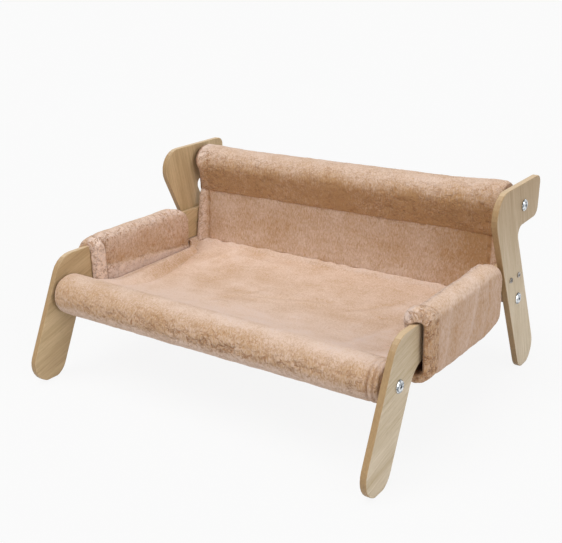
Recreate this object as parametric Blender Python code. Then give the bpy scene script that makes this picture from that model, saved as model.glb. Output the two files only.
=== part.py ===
"""Low sofa for a cat: plywood side frames, round crossbars and a plush sling cover.

Metres, +Z up, the front towards -Y, the floor at Z = 0. Each side has a front board, whose
leg turns back into the arm, and a rear post, whose head carries the back. Three crossbars
are bolted between the sides. The cover hangs on them: a padded bolster in front, a seat, a
back under a second padded bolster, and a sleeve round each arm.
"""
import math

import bmesh
import bpy
from mathutils import Matrix, Vector

# Overall size
WIDTH = 0.600
DEPTH = 0.4855
HEIGHT = 0.2938
GAP = 0.0003

# Plywood boards
BOARD = 0.009
EDGE_ROUND = 0.0010
FOOT_FLAT = 0.020

# Front board: a leg that leans back and turns into the arm
FRONT_WIDTH = 0.061
FRONT_LEAN = math.radians(25.5)
ARM_TOP = 0.1843
ARM_HEIGHT = 0.050
SHOULDER_RADIUS = 0.038
CROOK_RADIUS = 0.042
ARM_END_RADIUS = 0.008
ARM_END_INSET = 0.002

# Rear post: a leg that leans forward, with a head that reaches back
POST_WIDTH = 0.058
POST_LEAN = math.radians(24.5)
BROW_RADIUS = 0.035
HEAD_TOP_REACH = 0.0606
HEAD_TOP_RADIUS = 0.012
HEAD_LOW_REACH = 0.0547
HEAD_LOW_DROP = 0.0268
HEAD_LOW_RADIUS = 0.0145
NOTCH_DROP = 0.0288
NOTCH_RADIUS = 0.012

# Crossbars: two pass just under the arms, one lies in the posts' heads
BAR_DIAMETER = 0.020
BAR_BELOW_ARM = 0.0021
TOP_BAR_DROP = 0.0326
TOP_BAR_SETBACK = 0.066

# Connector bolts and the inserts that they screw into
BOLT_DIAMETER = 0.006
BOLT_LENGTH = 0.045
BOLT_HEAD = 0.017
BOLT_HEAD_HEIGHT = 0.0028
BOLT_HEAD_RIM = 0.0010
BOLT_HEAD_CROWN = 0.0088
BOLT_SOCKET = 0.004
BOLT_SOCKET_DEPTH = 0.0018
INSERT_DIAMETER = 0.010
INSERT_LENGTH = 0.018
HOLE_CLEARANCE = 0.0012
THREAD_CLEARANCE = 0.0008
TIP_CHAMFER = 0.0006
BORE_SPARE = 0.004

# Screws that fix each arm to its rear post
SCREW_DIAMETER = 0.004
SCREW_LENGTH = 0.015
SCREW_HEAD = 0.008
SCREW_HEAD_HEIGHT = 0.0022
SCREW_HEAD_RIM = 0.0008
SCREW_HEAD_CROWN = 0.0046
SCREW_SOCKET = 0.0025
SCREW_SOCKET_DEPTH = 0.0012
SCREW_SPACING = 0.028
ARM_INSERT_DIAMETER = 0.0065
ARM_INSERT_FLANGE = 0.010
ARM_INSERT_FLANGE_HEIGHT = 0.001

# Padded bolsters: foam tubes in plush pockets, each with a tail that the next panel is sewn to
FRONT_FOAM = 0.046
TOP_FOAM = 0.047
POCKET_WALL = 0.007
FRONT_TAIL_REACH = 0.0065
FRONT_TAIL_RISE = math.radians(16)
TOP_TAIL_REACH = 0.017
TOP_TAIL_LEAN = math.radians(-110)
TAIL_THICKNESS = 0.008
END_ROUND = 0.012
END_DRAW = 0.006
ROLL_CROWN = 0.0006
ROLL_WAVES = 5

# Seat, with its drop beside each arm and the soft fold that bows in from there
SEAT_THICKNESS = 0.0085
SEAT_SAG = 0.020
SEAT_EDGE_RISE = 0.0125
SIDE_DROP_WIDTH = 0.038
FRONT_FADE = 0.063
REAR_FADE = 0.043
FOLD_BOW = 0.045
FOLD_HALF_WIDTH = 0.020
FOLD_RISE = 0.0035
FOLD_ZONE = 0.060

# Back, from its crease with the seat up to the top bolster's tail
CREASE_RISE = 0.0053
CREASE_SETOFF = 0.023
BACK_THICKNESS = 0.007
BACK_BELLY = 0.004
BACK_HEM = 0.018
HEM_DRAW = 0.0012
HEM_VALLEY = 0.0036

# Tube that wraps the lower rear crossbar
WRAP_THICKNESS = 0.0045
WRAP_INSET = 0.005
WRAP_TAIL_REACH = 0.0027

# Arm sleeves, placed from the arm, the front bolster's tail and the crease
SLEEVE_FRONT_GAP = 0.015
SLEEVE_REAR_GAP = 0.0355
SLEEVE_POST_GAP = 0.006
SLEEVE_PAD = 0.0135
SLEEVE_HANG = 0.0273
SLEEVE_DROOP = 0.005
SLEEVE_INNER_WALL = 0.0080
SLEEVE_OUTER_WALL = 0.0090
SLEEVE_BOTTOM_WALL = 0.010
SLEEVE_INNER_EASE = 0.0007
SLEEVE_OUTER_EASE = 0.0013
SLEEVE_TOP_EASE = 0.0004
SLEEVE_HEM = 0.024
SLEEVE_REAR_HEM = 0.020
LIP_ROUND = 0.004

# Fineness of the facets
ARC_STEP = math.radians(13)
SHARP_ANGLE = math.radians(35)
CORNER_ANGLE = math.radians(60)
TURNED_SIDES = 18
BOLT_SIDES = 24
SCREW_SIDES = 12
DOME_STEPS = 2
POCKET_ARC_STEPS = 18
TAIL_STEPS = 3
END_STEPS = 3
SEAT_ROWS = 15
FOLD_COLUMNS = 6
SEAT_COLUMNS = 4
BACK_ROWS = 8
BACK_COLUMNS = 3
SLEEVE_ARC_STEPS = 8
LIP_STEPS = 2


# Legs and the places that follow from them
class Leg:
    """A straight board leg with a rounded foot, cut flat where it stands."""

    def __init__(self, foot_y, width, lean):
        self.foot_y = foot_y
        self.foot_z = math.sqrt((width / 2) ** 2 - (FOOT_FLAT / 2) ** 2)
        self.width = width
        self.lean = lean

    def axis(self, z):
        """Y of the leg's centre line at height z."""
        return self.foot_y + (z - self.foot_z) * math.tan(self.lean)

    def front(self, z):
        """Y of the front edge at height z."""
        return self.axis(z) - self.width / 2 / math.cos(self.lean)

    def rear(self, z):
        """Y of the rear edge at height z."""
        return self.axis(z) + self.width / 2 / math.cos(self.lean)

    def foot_corners(self):
        """Rear and front corners of the foot, both turned so far that they form a half circle."""
        half = self.width / 2
        along = Vector((math.sin(self.lean), math.cos(self.lean)))
        across = Vector((along.y, -along.x))
        end = Vector((self.foot_y, self.foot_z)) - along * half
        return [(*(end + across * half), half), (*(end - across * half), half)]


FRONT_LEG = Leg(-DEPTH / 2 + FRONT_WIDTH / 2, FRONT_WIDTH, FRONT_LEAN)
REAR_LEG = Leg(DEPTH / 2 - POST_WIDTH / 2, POST_WIDTH, -POST_LEAN)

POST_OUTER_X = WIDTH / 2
POST_INNER_X = POST_OUTER_X - BOARD
FRONT_OUTER_X = POST_INNER_X - GAP
FRONT_INNER_X = FRONT_OUTER_X - BOARD
ARM_UNDERSIDE = ARM_TOP - ARM_HEIGHT
ARM_MIDDLE = ARM_TOP - ARM_HEIGHT / 2
LOW_BAR_HEIGHT = ARM_UNDERSIDE - BAR_BELOW_ARM - BAR_DIAMETER / 2
TOP_BAR_HEIGHT = HEIGHT - TOP_BAR_DROP

FRONT_BAR = Vector((FRONT_LEG.axis(LOW_BAR_HEIGHT), LOW_BAR_HEIGHT))
REAR_BAR = Vector((REAR_LEG.axis(LOW_BAR_HEIGHT), LOW_BAR_HEIGHT))
TOP_BAR = Vector((REAR_LEG.axis(TOP_BAR_HEIGHT) + TOP_BAR_SETBACK, TOP_BAR_HEIGHT))
SCREW_PLACES = [Vector((REAR_LEG.axis(ARM_MIDDLE) + side * SCREW_SPACING / 2, ARM_MIDDLE))
                for side in (-1, 1)]


# Places of the cover's panels
COVER_HALF_WIDTH = FRONT_INNER_X - ARM_INSERT_FLANGE_HEIGHT - 2 * GAP
FRONT_TAIL = FRONT_FOAM / 2 + POCKET_WALL + FRONT_TAIL_REACH
TOP_TAIL = TOP_FOAM / 2 + POCKET_WALL + TOP_TAIL_REACH
FRONT_TAIL_DIRECTION = Vector((math.cos(FRONT_TAIL_RISE), math.sin(FRONT_TAIL_RISE)))
TOP_TAIL_DIRECTION = Vector((math.cos(TOP_TAIL_LEAN), math.sin(TOP_TAIL_LEAN)))
FRONT_TAIL_END = FRONT_BAR + FRONT_TAIL_DIRECTION * FRONT_TAIL
TOP_TAIL_END = TOP_BAR + TOP_TAIL_DIRECTION * TOP_TAIL
WRAP_RADIUS = BAR_DIAMETER / 2 + GAP + WRAP_THICKNESS
WRAP_TAIL = WRAP_RADIUS + WRAP_TAIL_REACH

HOLE_INNER_X = FRONT_INNER_X - SLEEVE_INNER_EASE
HOLE_OUTER_X = FRONT_OUTER_X + SLEEVE_OUTER_EASE
SLEEVE_BOTTOM = ARM_UNDERSIDE - SLEEVE_HANG
CREASE_Y = REAR_BAR.x - CREASE_SETOFF
CREASE_HEIGHT = LOW_BAR_HEIGHT + CREASE_RISE
SLEEVE_FRONT = FRONT_TAIL_END.x + SLEEVE_FRONT_GAP
SLEEVE_REAR = CREASE_Y - SLEEVE_REAR_GAP

SEAT_HALF_WIDTH = HOLE_INNER_X - SLEEVE_INNER_WALL - GAP
SEAT_EDGE_HEIGHT = SLEEVE_BOTTOM + SEAT_EDGE_RISE
SEAT_FRONT_Y = FRONT_TAIL_END.x + TAIL_THICKNESS / 2 * FRONT_TAIL_DIRECTION.y + GAP
SEAT_FRONT_HEIGHT = FRONT_TAIL_END.y + TAIL_THICKNESS / 2 * FRONT_TAIL_DIRECTION.x
SEAT_REAR_Y = REAR_BAR.x - WRAP_TAIL - GAP


# Outlines
def rounded_outline(corners):
    """Closed outline through corners (y, z, radius), each one turned as an arc."""
    outline = []
    for index, (y, z, radius) in enumerate(corners):
        corner = Vector((y, z))
        before = (Vector(corners[index - 1][:2]) - corner).normalized()
        after = (Vector(corners[(index + 1) % len(corners)][:2]) - corner).normalized()
        half = before.angle(after) / 2
        centre = corner + (before + after).normalized() * radius / math.sin(half)
        start = corner + before * radius / math.tan(half) - centre
        turn = math.copysign(math.pi - 2 * half, after.x * before.y - after.y * before.x)
        steps = max(2, math.ceil(abs(turn) / ARC_STEP))
        for step in range(steps + 1):
            point = centre + Matrix.Rotation(turn * step / steps, 2) @ start
            if not outline or (point - outline[-1]).length > GAP:
                outline.append(point)
    return outline


def cut_at_floor(outline):
    """The outline with all that lies below z = 0 cut away flat."""
    kept = []
    for index, point in enumerate(outline):
        previous = outline[index - 1]
        if (point.y < 0) != (previous.y < 0):
            kept.append(previous.lerp(point, previous.y / (previous.y - point.y)))
        if point.y >= 0:
            kept.append(point)
    return kept


def front_board_outline():
    """Leg, shoulder and arm of a front board, with the arm's end cut along the rear post."""
    end_top = REAR_LEG.rear(ARM_TOP) - ARM_END_INSET
    end_low = REAR_LEG.rear(ARM_UNDERSIDE) - ARM_END_INSET
    return cut_at_floor(rounded_outline([
        *FRONT_LEG.foot_corners(),
        (FRONT_LEG.front(ARM_TOP), ARM_TOP, SHOULDER_RADIUS),
        (end_top, ARM_TOP, ARM_END_RADIUS),
        (end_low, ARM_UNDERSIDE, ARM_END_RADIUS),
        (FRONT_LEG.rear(ARM_UNDERSIDE), ARM_UNDERSIDE, CROOK_RADIUS),
    ]))


def rear_post_outline():
    """Leg and head of a rear post."""
    notch = TOP_BAR.y - NOTCH_DROP
    return cut_at_floor(rounded_outline([
        *REAR_LEG.foot_corners(),
        (REAR_LEG.front(HEIGHT), HEIGHT, BROW_RADIUS),
        (TOP_BAR.x + HEAD_TOP_REACH, HEIGHT, HEAD_TOP_RADIUS),
        (TOP_BAR.x + HEAD_LOW_REACH, TOP_BAR.y - HEAD_LOW_DROP, HEAD_LOW_RADIUS),
        (REAR_LEG.rear(notch), notch, NOTCH_RADIUS),
    ]))


def pocket_section(radius, tail_length, tail_angle):
    """Outline of a round pocket that narrows to a flat-ended tail, as (y, z) from its centre."""
    half = TAIL_THICKNESS / 2
    reach = math.hypot(tail_length, half)
    tangent = math.atan2(half, tail_length) + math.acos(min(1, radius / reach))
    sweep = 2 * math.pi - 2 * tangent
    section = []
    for step in range(POCKET_ARC_STEPS + 1):
        angle = tangent + sweep * step / POCKET_ARC_STEPS
        section.append(Vector((math.cos(angle), math.sin(angle))) * radius)
    low, high = Vector((tail_length, -half)), Vector((tail_length, half))
    first, last = section[0], section[-1]
    section += [last.lerp(low, step / TAIL_STEPS) for step in range(1, TAIL_STEPS + 1)]
    section += [high.lerp(first, step / TAIL_STEPS) for step in range(TAIL_STEPS)]
    return [Matrix.Rotation(tail_angle, 2) @ point for point in section]


def bore_ring(section, radius):
    """A round bore that clears the radius, with one point for each point of a section."""
    widest = max(point.angle(section[index - 1]) for index, point in enumerate(section))
    return [point.normalized() * radius / math.cos(widest / 2) for point in section]


# Materials
def material(name, colour, roughness, metallic=0.0):
    """A plain surface of one colour."""
    made = bpy.data.materials.new(name)
    made.use_nodes = True
    surface = made.node_tree.nodes["Principled BSDF"]
    surface.inputs["Base Color"].default_value = (*colour, 1.0)
    surface.inputs["Roughness"].default_value = roughness
    surface.inputs["Metallic"].default_value = metallic
    made.diffuse_color = (*colour, 1.0)
    return made


# Bodies
def add_object(name, shape, surface, parent, location=(0, 0, 0), half_turn=False):
    """An object in the scene; a half turn about Z points it outwards on the left side."""
    made = bpy.data.objects.new(name, shape)
    bpy.context.collection.objects.link(made)
    made.parent = parent
    made.location = location
    made.rotation_euler = (0, 0, math.pi if half_turn else 0)
    if surface and not shape.materials:
        shape.materials.append(surface)
    return made


def finish_mesh(name, shell):
    """A shaded mesh from a bmesh, with its faces turned out."""
    bmesh.ops.recalc_face_normals(shell, faces=shell.faces)
    shape = bpy.data.meshes.new(name)
    shell.to_mesh(shape)
    shell.free()
    shape.shade_smooth()
    shape.set_sharp_from_angle(angle=SHARP_ANGLE)
    return shape


def prism(name, outline, thickness):
    """A board of one thickness, its inner face on x = 0."""
    shell = bmesh.new()
    face = shell.faces.new([shell.verts.new((0, y, z)) for y, z in outline])
    grown = bmesh.ops.extrude_face_region(shell, geom=[face])["geom"]
    moved = [item for item in grown if isinstance(item, bmesh.types.BMVert)]
    bmesh.ops.translate(shell, verts=moved, vec=(thickness, 0, 0))
    return finish_mesh(name, shell)


def join_rings(shell, rings, closed):
    """Faces between rings of vertices; closed also joins the last ring to the first."""
    pairs = list(zip(rings, rings[1:]))
    if closed:
        pairs.append((rings[-1], rings[0]))
    for first, second in pairs:
        for index in range(len(first)):
            after = (index + 1) % len(first)
            shell.faces.new((first[index], first[after], second[after], second[index]))


def turned(name, profile, closed=False, sides=TURNED_SIDES):
    """A body turned about X from (x, radius) or, for a hexagon, (x, radius, across flats)."""
    shell = bmesh.new()
    rings = []
    for x, radius, *flats in profile:
        ring = []
        for side in range(sides):
            angle = 2 * math.pi * side / sides
            reach = radius
            if flats:
                from_flat = (angle + math.pi / 6) % (math.pi / 3) - math.pi / 6
                reach = flats[0] / 2 / math.cos(from_flat)
            ring.append(shell.verts.new((x, reach * math.cos(angle), reach * math.sin(angle))))
        rings.append(ring)
    join_rings(shell, rings, closed)
    if not closed:
        shell.faces.new(rings[0])
        shell.faces.new(rings[-1])
    return finish_mesh(name, shell)


def hollow(name, outer, inner):
    """A body between rings of outer points and rings of inner points, open through its middle."""
    shell = bmesh.new()
    rings = [[shell.verts.new(point) for point in ring] for ring in outer + inner[::-1]]
    join_rings(shell, rings, closed=True)
    return finish_mesh(name, shell)


def slab(name, upper, lower):
    """A closed sheet between two grids of points."""
    shell = bmesh.new()
    top = [[shell.verts.new(point) for point in row] for row in upper]
    low = [[shell.verts.new(point) for point in row] for row in lower]
    rows, columns = len(top), len(top[0])
    for grid in (top, low):
        for row in range(rows - 1):
            for column in range(columns - 1):
                shell.faces.new((grid[row][column], grid[row][column + 1],
                                 grid[row + 1][column + 1], grid[row + 1][column]))
    rim = ([(0, column) for column in range(columns)]
           + [(row, columns - 1) for row in range(1, rows)]
           + [(rows - 1, column) for column in range(columns - 2, -1, -1)]
           + [(row, 0) for row in range(rows - 2, 0, -1)])
    join_rings(shell, [[grid[row][column] for row, column in rim] for grid in (top, low)], False)
    return finish_mesh(name, shell)


# Side boards
def drill(name, holes, parent):
    """A hidden cutter with one rod through both sides for each (place, diameter)."""
    shell = bmesh.new()
    for place, diameter in holes:
        bmesh.ops.create_cone(
            shell, cap_ends=True, segments=TURNED_SIDES, radius1=diameter / 2,
            radius2=diameter / 2, depth=WIDTH * 2,
            matrix=Matrix.Translation((0, *place)) @ Matrix.Rotation(math.pi / 2, 4, "Y"))
    cutter = add_object(name, finish_mesh(name, shell), None, parent)
    cutter.hide_render = True
    cutter.display_type = "WIRE"
    return cutter


def add_boards(name, outline, inner_x, cutter, surface, parent):
    """Left and right copies of one board, with rounded edges and drilled holes."""
    shape = prism(name, outline, BOARD)
    for side, x in (("left", -inner_x - BOARD), ("right", inner_x)):
        board = add_object(f"{side}_{name}", shape, surface, parent, (x, 0, 0))
        edge = board.modifiers.new("edge", "BEVEL")
        edge.width = EDGE_ROUND
        edge.segments = 2
        edge.limit_method = "ANGLE"
        edge.angle_limit = CORNER_ANGLE
        holes = board.modifiers.new("holes", "BOOLEAN")
        holes.operation = "DIFFERENCE"
        holes.object = cutter


# Crossbars and fasteners
def crossbar_shape(name, half_length):
    """A round bar with a stepped blind bore in each end for an insert and its bolt."""
    seat = half_length - INSERT_LENGTH - GAP
    bore_depth = BOLT_LENGTH - BOARD + BORE_SPARE
    left = [
        (bore_depth - half_length, BOLT_DIAMETER / 2 + GAP),
        (-seat, BOLT_DIAMETER / 2 + GAP),
        (-seat, INSERT_DIAMETER / 2 + GAP),
        (-half_length, INSERT_DIAMETER / 2 + GAP),
        (-half_length, BAR_DIAMETER / 2 - EDGE_ROUND),
        (EDGE_ROUND - half_length, BAR_DIAMETER / 2),
    ]
    return turned(name, left + [(-x, radius) for x, radius in left[::-1]])


def domed_fastener(name, sides, diameter, length, head, height, rim, crown, socket, depth):
    """A shank towards -X and a domed head, seated on x = 0, with a hexagon socket."""
    profile = [(-length, diameter / 2 - TIP_CHAMFER), (TIP_CHAMFER - length, diameter / 2),
               (0, diameter / 2), (0, head / 2)]
    for step in range(DOME_STEPS + 1):
        angle = math.pi / 2 * step / DOME_STEPS
        profile.append((rim + (height - rim) * math.sin(angle),
                        (crown + (head - crown) * math.cos(angle)) / 2))
    profile += [(height, 0, socket), (height - depth, 0, socket)]
    return turned(name, profile, sides=sides)


def bolt_shape():
    """A connector bolt with a wide head, for a crossbar."""
    return domed_fastener("connector_bolt", BOLT_SIDES, BOLT_DIAMETER, BOLT_LENGTH, BOLT_HEAD,
                          BOLT_HEAD_HEIGHT, BOLT_HEAD_RIM, BOLT_HEAD_CROWN, BOLT_SOCKET,
                          BOLT_SOCKET_DEPTH)


def screw_shape():
    """A short button-head screw, for an arm."""
    return domed_fastener("arm_screw", SCREW_SIDES, SCREW_DIAMETER, SCREW_LENGTH, SCREW_HEAD,
                          SCREW_HEAD_HEIGHT, SCREW_HEAD_RIM, SCREW_HEAD_CROWN, SCREW_SOCKET,
                          SCREW_SOCKET_DEPTH)


def bar_insert_shape():
    """A threaded insert that fills the mouth of a crossbar's bore."""
    bore = (BOLT_DIAMETER + THREAD_CLEARANCE) / 2
    outer = INSERT_DIAMETER / 2
    return turned("bar_insert", [(-INSERT_LENGTH, bore), (0, bore), (0, outer),
                                 (-INSERT_LENGTH, outer)], closed=True)


def arm_insert_shape():
    """A flanged insert, pressed into the arm from its inner face."""
    bore = (SCREW_DIAMETER + THREAD_CLEARANCE) / 2
    flange = -BOARD - GAP
    return turned("arm_insert", [
        (-GAP, bore),
        (-GAP, ARM_INSERT_DIAMETER / 2),
        (flange, ARM_INSERT_DIAMETER / 2),
        (flange, ARM_INSERT_FLANGE / 2),
        (flange - ARM_INSERT_FLANGE_HEIGHT, ARM_INSERT_FLANGE / 2),
        (flange - ARM_INSERT_FLANGE_HEIGHT, bore),
    ], closed=True, sides=SCREW_SIDES)


def add_pair(name, shape, surface, parent, x, place):
    """The same piece on the left and on the right, pointing outwards."""
    add_object(f"left_{name}", shape, surface, parent, (-x, *place), half_turn=True)
    add_object(f"right_{name}", shape, surface, parent, (x, *place))


def add_crossbars(wood, metal, parent):
    """Three bars, each with an insert and a bolt in both ends."""
    bars = [("front_crossbar", FRONT_BAR, FRONT_INNER_X, FRONT_OUTER_X),
            ("seat_rear_crossbar", REAR_BAR, POST_INNER_X, POST_OUTER_X),
            ("back_top_crossbar", TOP_BAR, POST_INNER_X, POST_OUTER_X)]
    insert = bar_insert_shape()
    bolt = bolt_shape()
    for name, place, board_inner, board_outer in bars:
        half = board_inner - GAP
        add_object(name, crossbar_shape(name, half), wood, parent, (0, *place))
        add_pair(f"{name}_insert", insert, metal, parent, half, place)
        add_pair(f"{name}_bolt", bolt, metal, parent, board_outer + GAP, place)


def add_arm_fixings(metal, parent):
    """Two screws and inserts that hold each arm to its rear post."""
    insert = arm_insert_shape()
    screw = screw_shape()
    for name, place in zip(("front", "rear"), SCREW_PLACES):
        add_pair(f"arm_{name}_insert", insert, metal, parent, FRONT_OUTER_X, place)
        add_pair(f"arm_{name}_screw", screw, metal, parent, POST_OUTER_X + GAP, place)


# Bolsters
def roll_stations(foam_radius):
    """X places along a bolster's pocket, with its outer and inner radius at each."""
    straight = COVER_HALF_WIDTH - END_ROUND
    stations = []
    for step in range(END_STEPS):
        angle = math.pi / 2 * step / END_STEPS
        bore = foam_radius + GAP - END_DRAW * (1 - math.sin(angle))
        stations.append((straight + END_ROUND * math.cos(angle), bore + POCKET_WALL, bore))
    for step in range(ROLL_WAVES):
        crown = ROLL_CROWN * math.cos(math.pi * step)
        bore = foam_radius + GAP
        stations.append((straight * (1 - step / ROLL_WAVES), bore + POCKET_WALL - crown, bore))
    middle = (0, foam_radius + GAP + POCKET_WALL + ROLL_CROWN, foam_radius + GAP)
    return [(-x, outer, inner) for x, outer, inner in stations] + [middle] + stations[::-1]


def add_bolster(name, place, foam, tail, tail_angle, surfaces, parent):
    """A foam tube on its crossbar and the plush pocket round it, its ends drawn in."""
    plush, padding = surfaces
    foam_half = COVER_HALF_WIDTH - END_ROUND - GAP
    core = BAR_DIAMETER / 2 + GAP
    tube = turned(f"{name}_padding", [(-foam_half, core), (-foam_half, foam / 2),
                                      (foam_half, foam / 2), (foam_half, core)], closed=True)
    add_object(f"{name}_padding", tube, padding, parent, (0, *place))
    outer, inner = [], []
    for x, radius, bore in roll_stations(foam / 2):
        section = pocket_section(radius, tail, tail_angle)
        outer.append([(x, *point) for point in section])
        inner.append([(x, *point) for point in bore_ring(section, bore)])
    cover = hollow(f"{name}_cover", outer, inner)
    add_object(f"{name}_cover", cover, plush, parent, (0, *place))


# Seat and back
def smooth(share):
    """Eases from 0 to 1."""
    share = min(1, max(0, share))
    return share * share * (3 - 2 * share)


def seat_height(x, y):
    """Top of the seat, between the front bolster's tail and the crease."""
    along = (y - SEAT_FRONT_Y) / (SEAT_REAR_Y - SEAT_FRONT_Y)
    straight = SEAT_FRONT_HEIGHT + (CREASE_HEIGHT - SEAT_FRONT_HEIGHT) * along
    middle = straight - SEAT_SAG * 4 * along * (1 - along)
    beside_arm = smooth((y - SEAT_FRONT_Y) / FRONT_FADE) * smooth((SEAT_REAR_Y - y) / REAR_FADE)
    edge = straight + (SEAT_EDGE_HEIGHT - straight) * beside_arm
    from_edge = SEAT_HALF_WIDTH - abs(x)
    from_ridge = abs(from_edge - FOLD_BOW * math.sin(math.pi * along))
    fold = FOLD_RISE * beside_arm * smooth(1 - from_ridge / FOLD_HALF_WIDTH)
    return middle + (edge - middle) * smooth(1 - from_edge / SIDE_DROP_WIDTH) + fold


def seat_columns():
    """X places across the seat, closer together in the folds beside the arms."""
    beside = [SEAT_HALF_WIDTH - FOLD_ZONE * step / FOLD_COLUMNS for step in range(FOLD_COLUMNS)]
    inner = SEAT_HALF_WIDTH - FOLD_ZONE
    half = beside + [inner * (1 - step / SEAT_COLUMNS) for step in range(SEAT_COLUMNS)]
    return [-x for x in half] + [0] + half[::-1]


def add_seat(plush, parent):
    """The seat panel, sagging between the bolster, the arms and the crease."""
    upper, lower = [], []
    for row in range(SEAT_ROWS + 1):
        y = SEAT_FRONT_Y + (SEAT_REAR_Y - SEAT_FRONT_Y) * row / SEAT_ROWS
        upper.append([(x, y, seat_height(x, y)) for x in seat_columns()])
        lower.append([(x, y, z - SEAT_THICKNESS) for x, y, z in upper[-1]])
    add_object("seat_panel", slab("seat_panel", upper, lower), plush, parent)


def back_columns():
    """X places across the back and how far its front is drawn in at the hem seams there."""
    seam = COVER_HALF_WIDTH - BACK_HEM
    inner = seam - HEM_VALLEY
    half = [(COVER_HALF_WIDTH, 0), (seam + HEM_VALLEY, 0), (seam, HEM_DRAW)]
    half += [(inner * (1 - step / BACK_COLUMNS), 0) for step in range(BACK_COLUMNS)]
    return [(-x, drawn) for x, drawn in half] + [(0, 0)] + half[::-1]


def add_back(plush, parent):
    """The back panel, from the seat's crease up to the top bolster's tail."""
    low = CREASE_HEIGHT + GAP
    high = TOP_TAIL_END.y + TAIL_THICKNESS / 2 * TOP_TAIL_DIRECTION.x - GAP
    lean = TOP_TAIL_END.x - BACK_THICKNESS / 2 - CREASE_Y
    front, rear = [], []
    for row in range(BACK_ROWS + 1):
        share = row / BACK_ROWS
        z = low + (high - low) * share
        front.append([])
        rear.append([])
        for x, drawn in back_columns():
            belly = BACK_BELLY * math.sin(math.pi * share) * (1 - (x / COVER_HALF_WIDTH) ** 2)
            y = CREASE_Y + lean * share + belly
            front[-1].append((x, y + drawn, z))
            rear[-1].append((x, y + BACK_THICKNESS, z))
    add_object("back_panel", slab("back_panel", front, rear), plush, parent)


def add_bar_wrap(plush, parent):
    """The tube of the cover that holds the lower rear crossbar, sewn into the crease."""
    section = pocket_section(WRAP_RADIUS, WRAP_TAIL, math.pi)
    bore = bore_ring(section, BAR_DIAMETER / 2 + GAP)
    half = SEAT_HALF_WIDTH - WRAP_INSET
    places = (-half, 0, half)
    outer, inner = [[[(x, *point) for point in ring] for x in places] for ring in (section, bore)]
    shape = hollow("rear_bar_wrap", outer, inner)
    add_object("rear_bar_wrap", shape, plush, parent, (0, *REAR_BAR))


# Arm sleeves
def loop_section(inner_x, outer_x, low, high):
    """A flat loop with half-round top and bottom, as (x, z), from its inner side over the top."""
    radius = (outer_x - inner_x) / 2
    middle_x = inner_x + radius
    middle_z = (low + high) / 2
    straight = (high - low) / 2 - radius
    section = []
    for side in (1, -1):
        for step in range(SLEEVE_ARC_STEPS + 1):
            angle = math.pi * (1 - step / SLEEVE_ARC_STEPS)
            section.append((middle_x + side * radius * math.cos(angle),
                            middle_z + side * (straight + radius * math.sin(angle))))
        section.append((middle_x + side * radius, middle_z))
    return section


def sleeve_ring(share, inset, inner_x, outer_x, low, high):
    """One ring of a sleeve; share runs from 0 at its front end to 1 at its rear end."""
    ring = []
    for x, z in loop_section(inner_x + inset, outer_x - inset, low + inset, high - inset):
        end = min(SLEEVE_REAR, REAR_LEG.front(z) - SLEEVE_POST_GAP)
        ring.append((x, SLEEVE_FRONT + (end - SLEEVE_FRONT) * share, z))
    return ring


def hem_stations(hem):
    """Distances from a sleeve's end, with the inset there: a round lip, then a hem's seam."""
    lip = min(LIP_ROUND, SLEEVE_INNER_WALL / 2, SLEEVE_OUTER_WALL / 2)
    stations = []
    for step in range(LIP_STEPS + 1):
        angle = math.pi / 2 * step / LIP_STEPS
        stations.append((lip * (1 - math.cos(angle)), lip * (1 - math.sin(angle))))
    return stations + [(hem - HEM_VALLEY, 0), (hem, HEM_DRAW), (hem + HEM_VALLEY, 0)]


def add_sleeves(plush, parent):
    """A plush loop round each arm, with a hem sewn in at its front and rear ends."""
    length = SLEEVE_REAR - SLEEVE_FRONT
    hole_radius = (HOLE_OUTER_X - HOLE_INNER_X) / 2
    corner = BOARD / 2 + abs(SLEEVE_OUTER_EASE - SLEEVE_INNER_EASE) / 2
    hole_top = (ARM_TOP + SLEEVE_TOP_EASE + hole_radius
                - math.sqrt(hole_radius ** 2 - corner ** 2))
    stations = [*hem_stations(SLEEVE_HEM), (length / 2, 0)]
    stations += [(length - distance, inset) for distance, inset in hem_stations(SLEEVE_REAR_HEM)[::-1]]
    outer, inner = [], []
    for distance, inset in stations:
        share = distance / length
        low = SLEEVE_BOTTOM - SLEEVE_DROOP * math.sin(math.pi / 2 * share)
        outer.append(sleeve_ring(share, inset, HOLE_INNER_X - SLEEVE_INNER_WALL,
                                 HOLE_OUTER_X + SLEEVE_OUTER_WALL, low, hole_top + SLEEVE_PAD))
        inner.append(sleeve_ring(share, 0, HOLE_INNER_X, HOLE_OUTER_X,
                                 SLEEVE_BOTTOM + SLEEVE_BOTTOM_WALL, hole_top))
    for side, sign in (("left", -1), ("right", 1)):
        rings = [[[(sign * x, y, z) for x, y, z in ring] for ring in part] for part in (outer, inner)]
        name = f"{side}_arm_sleeve"
        add_object(name, hollow(name, *rings), plush, parent)


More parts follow.
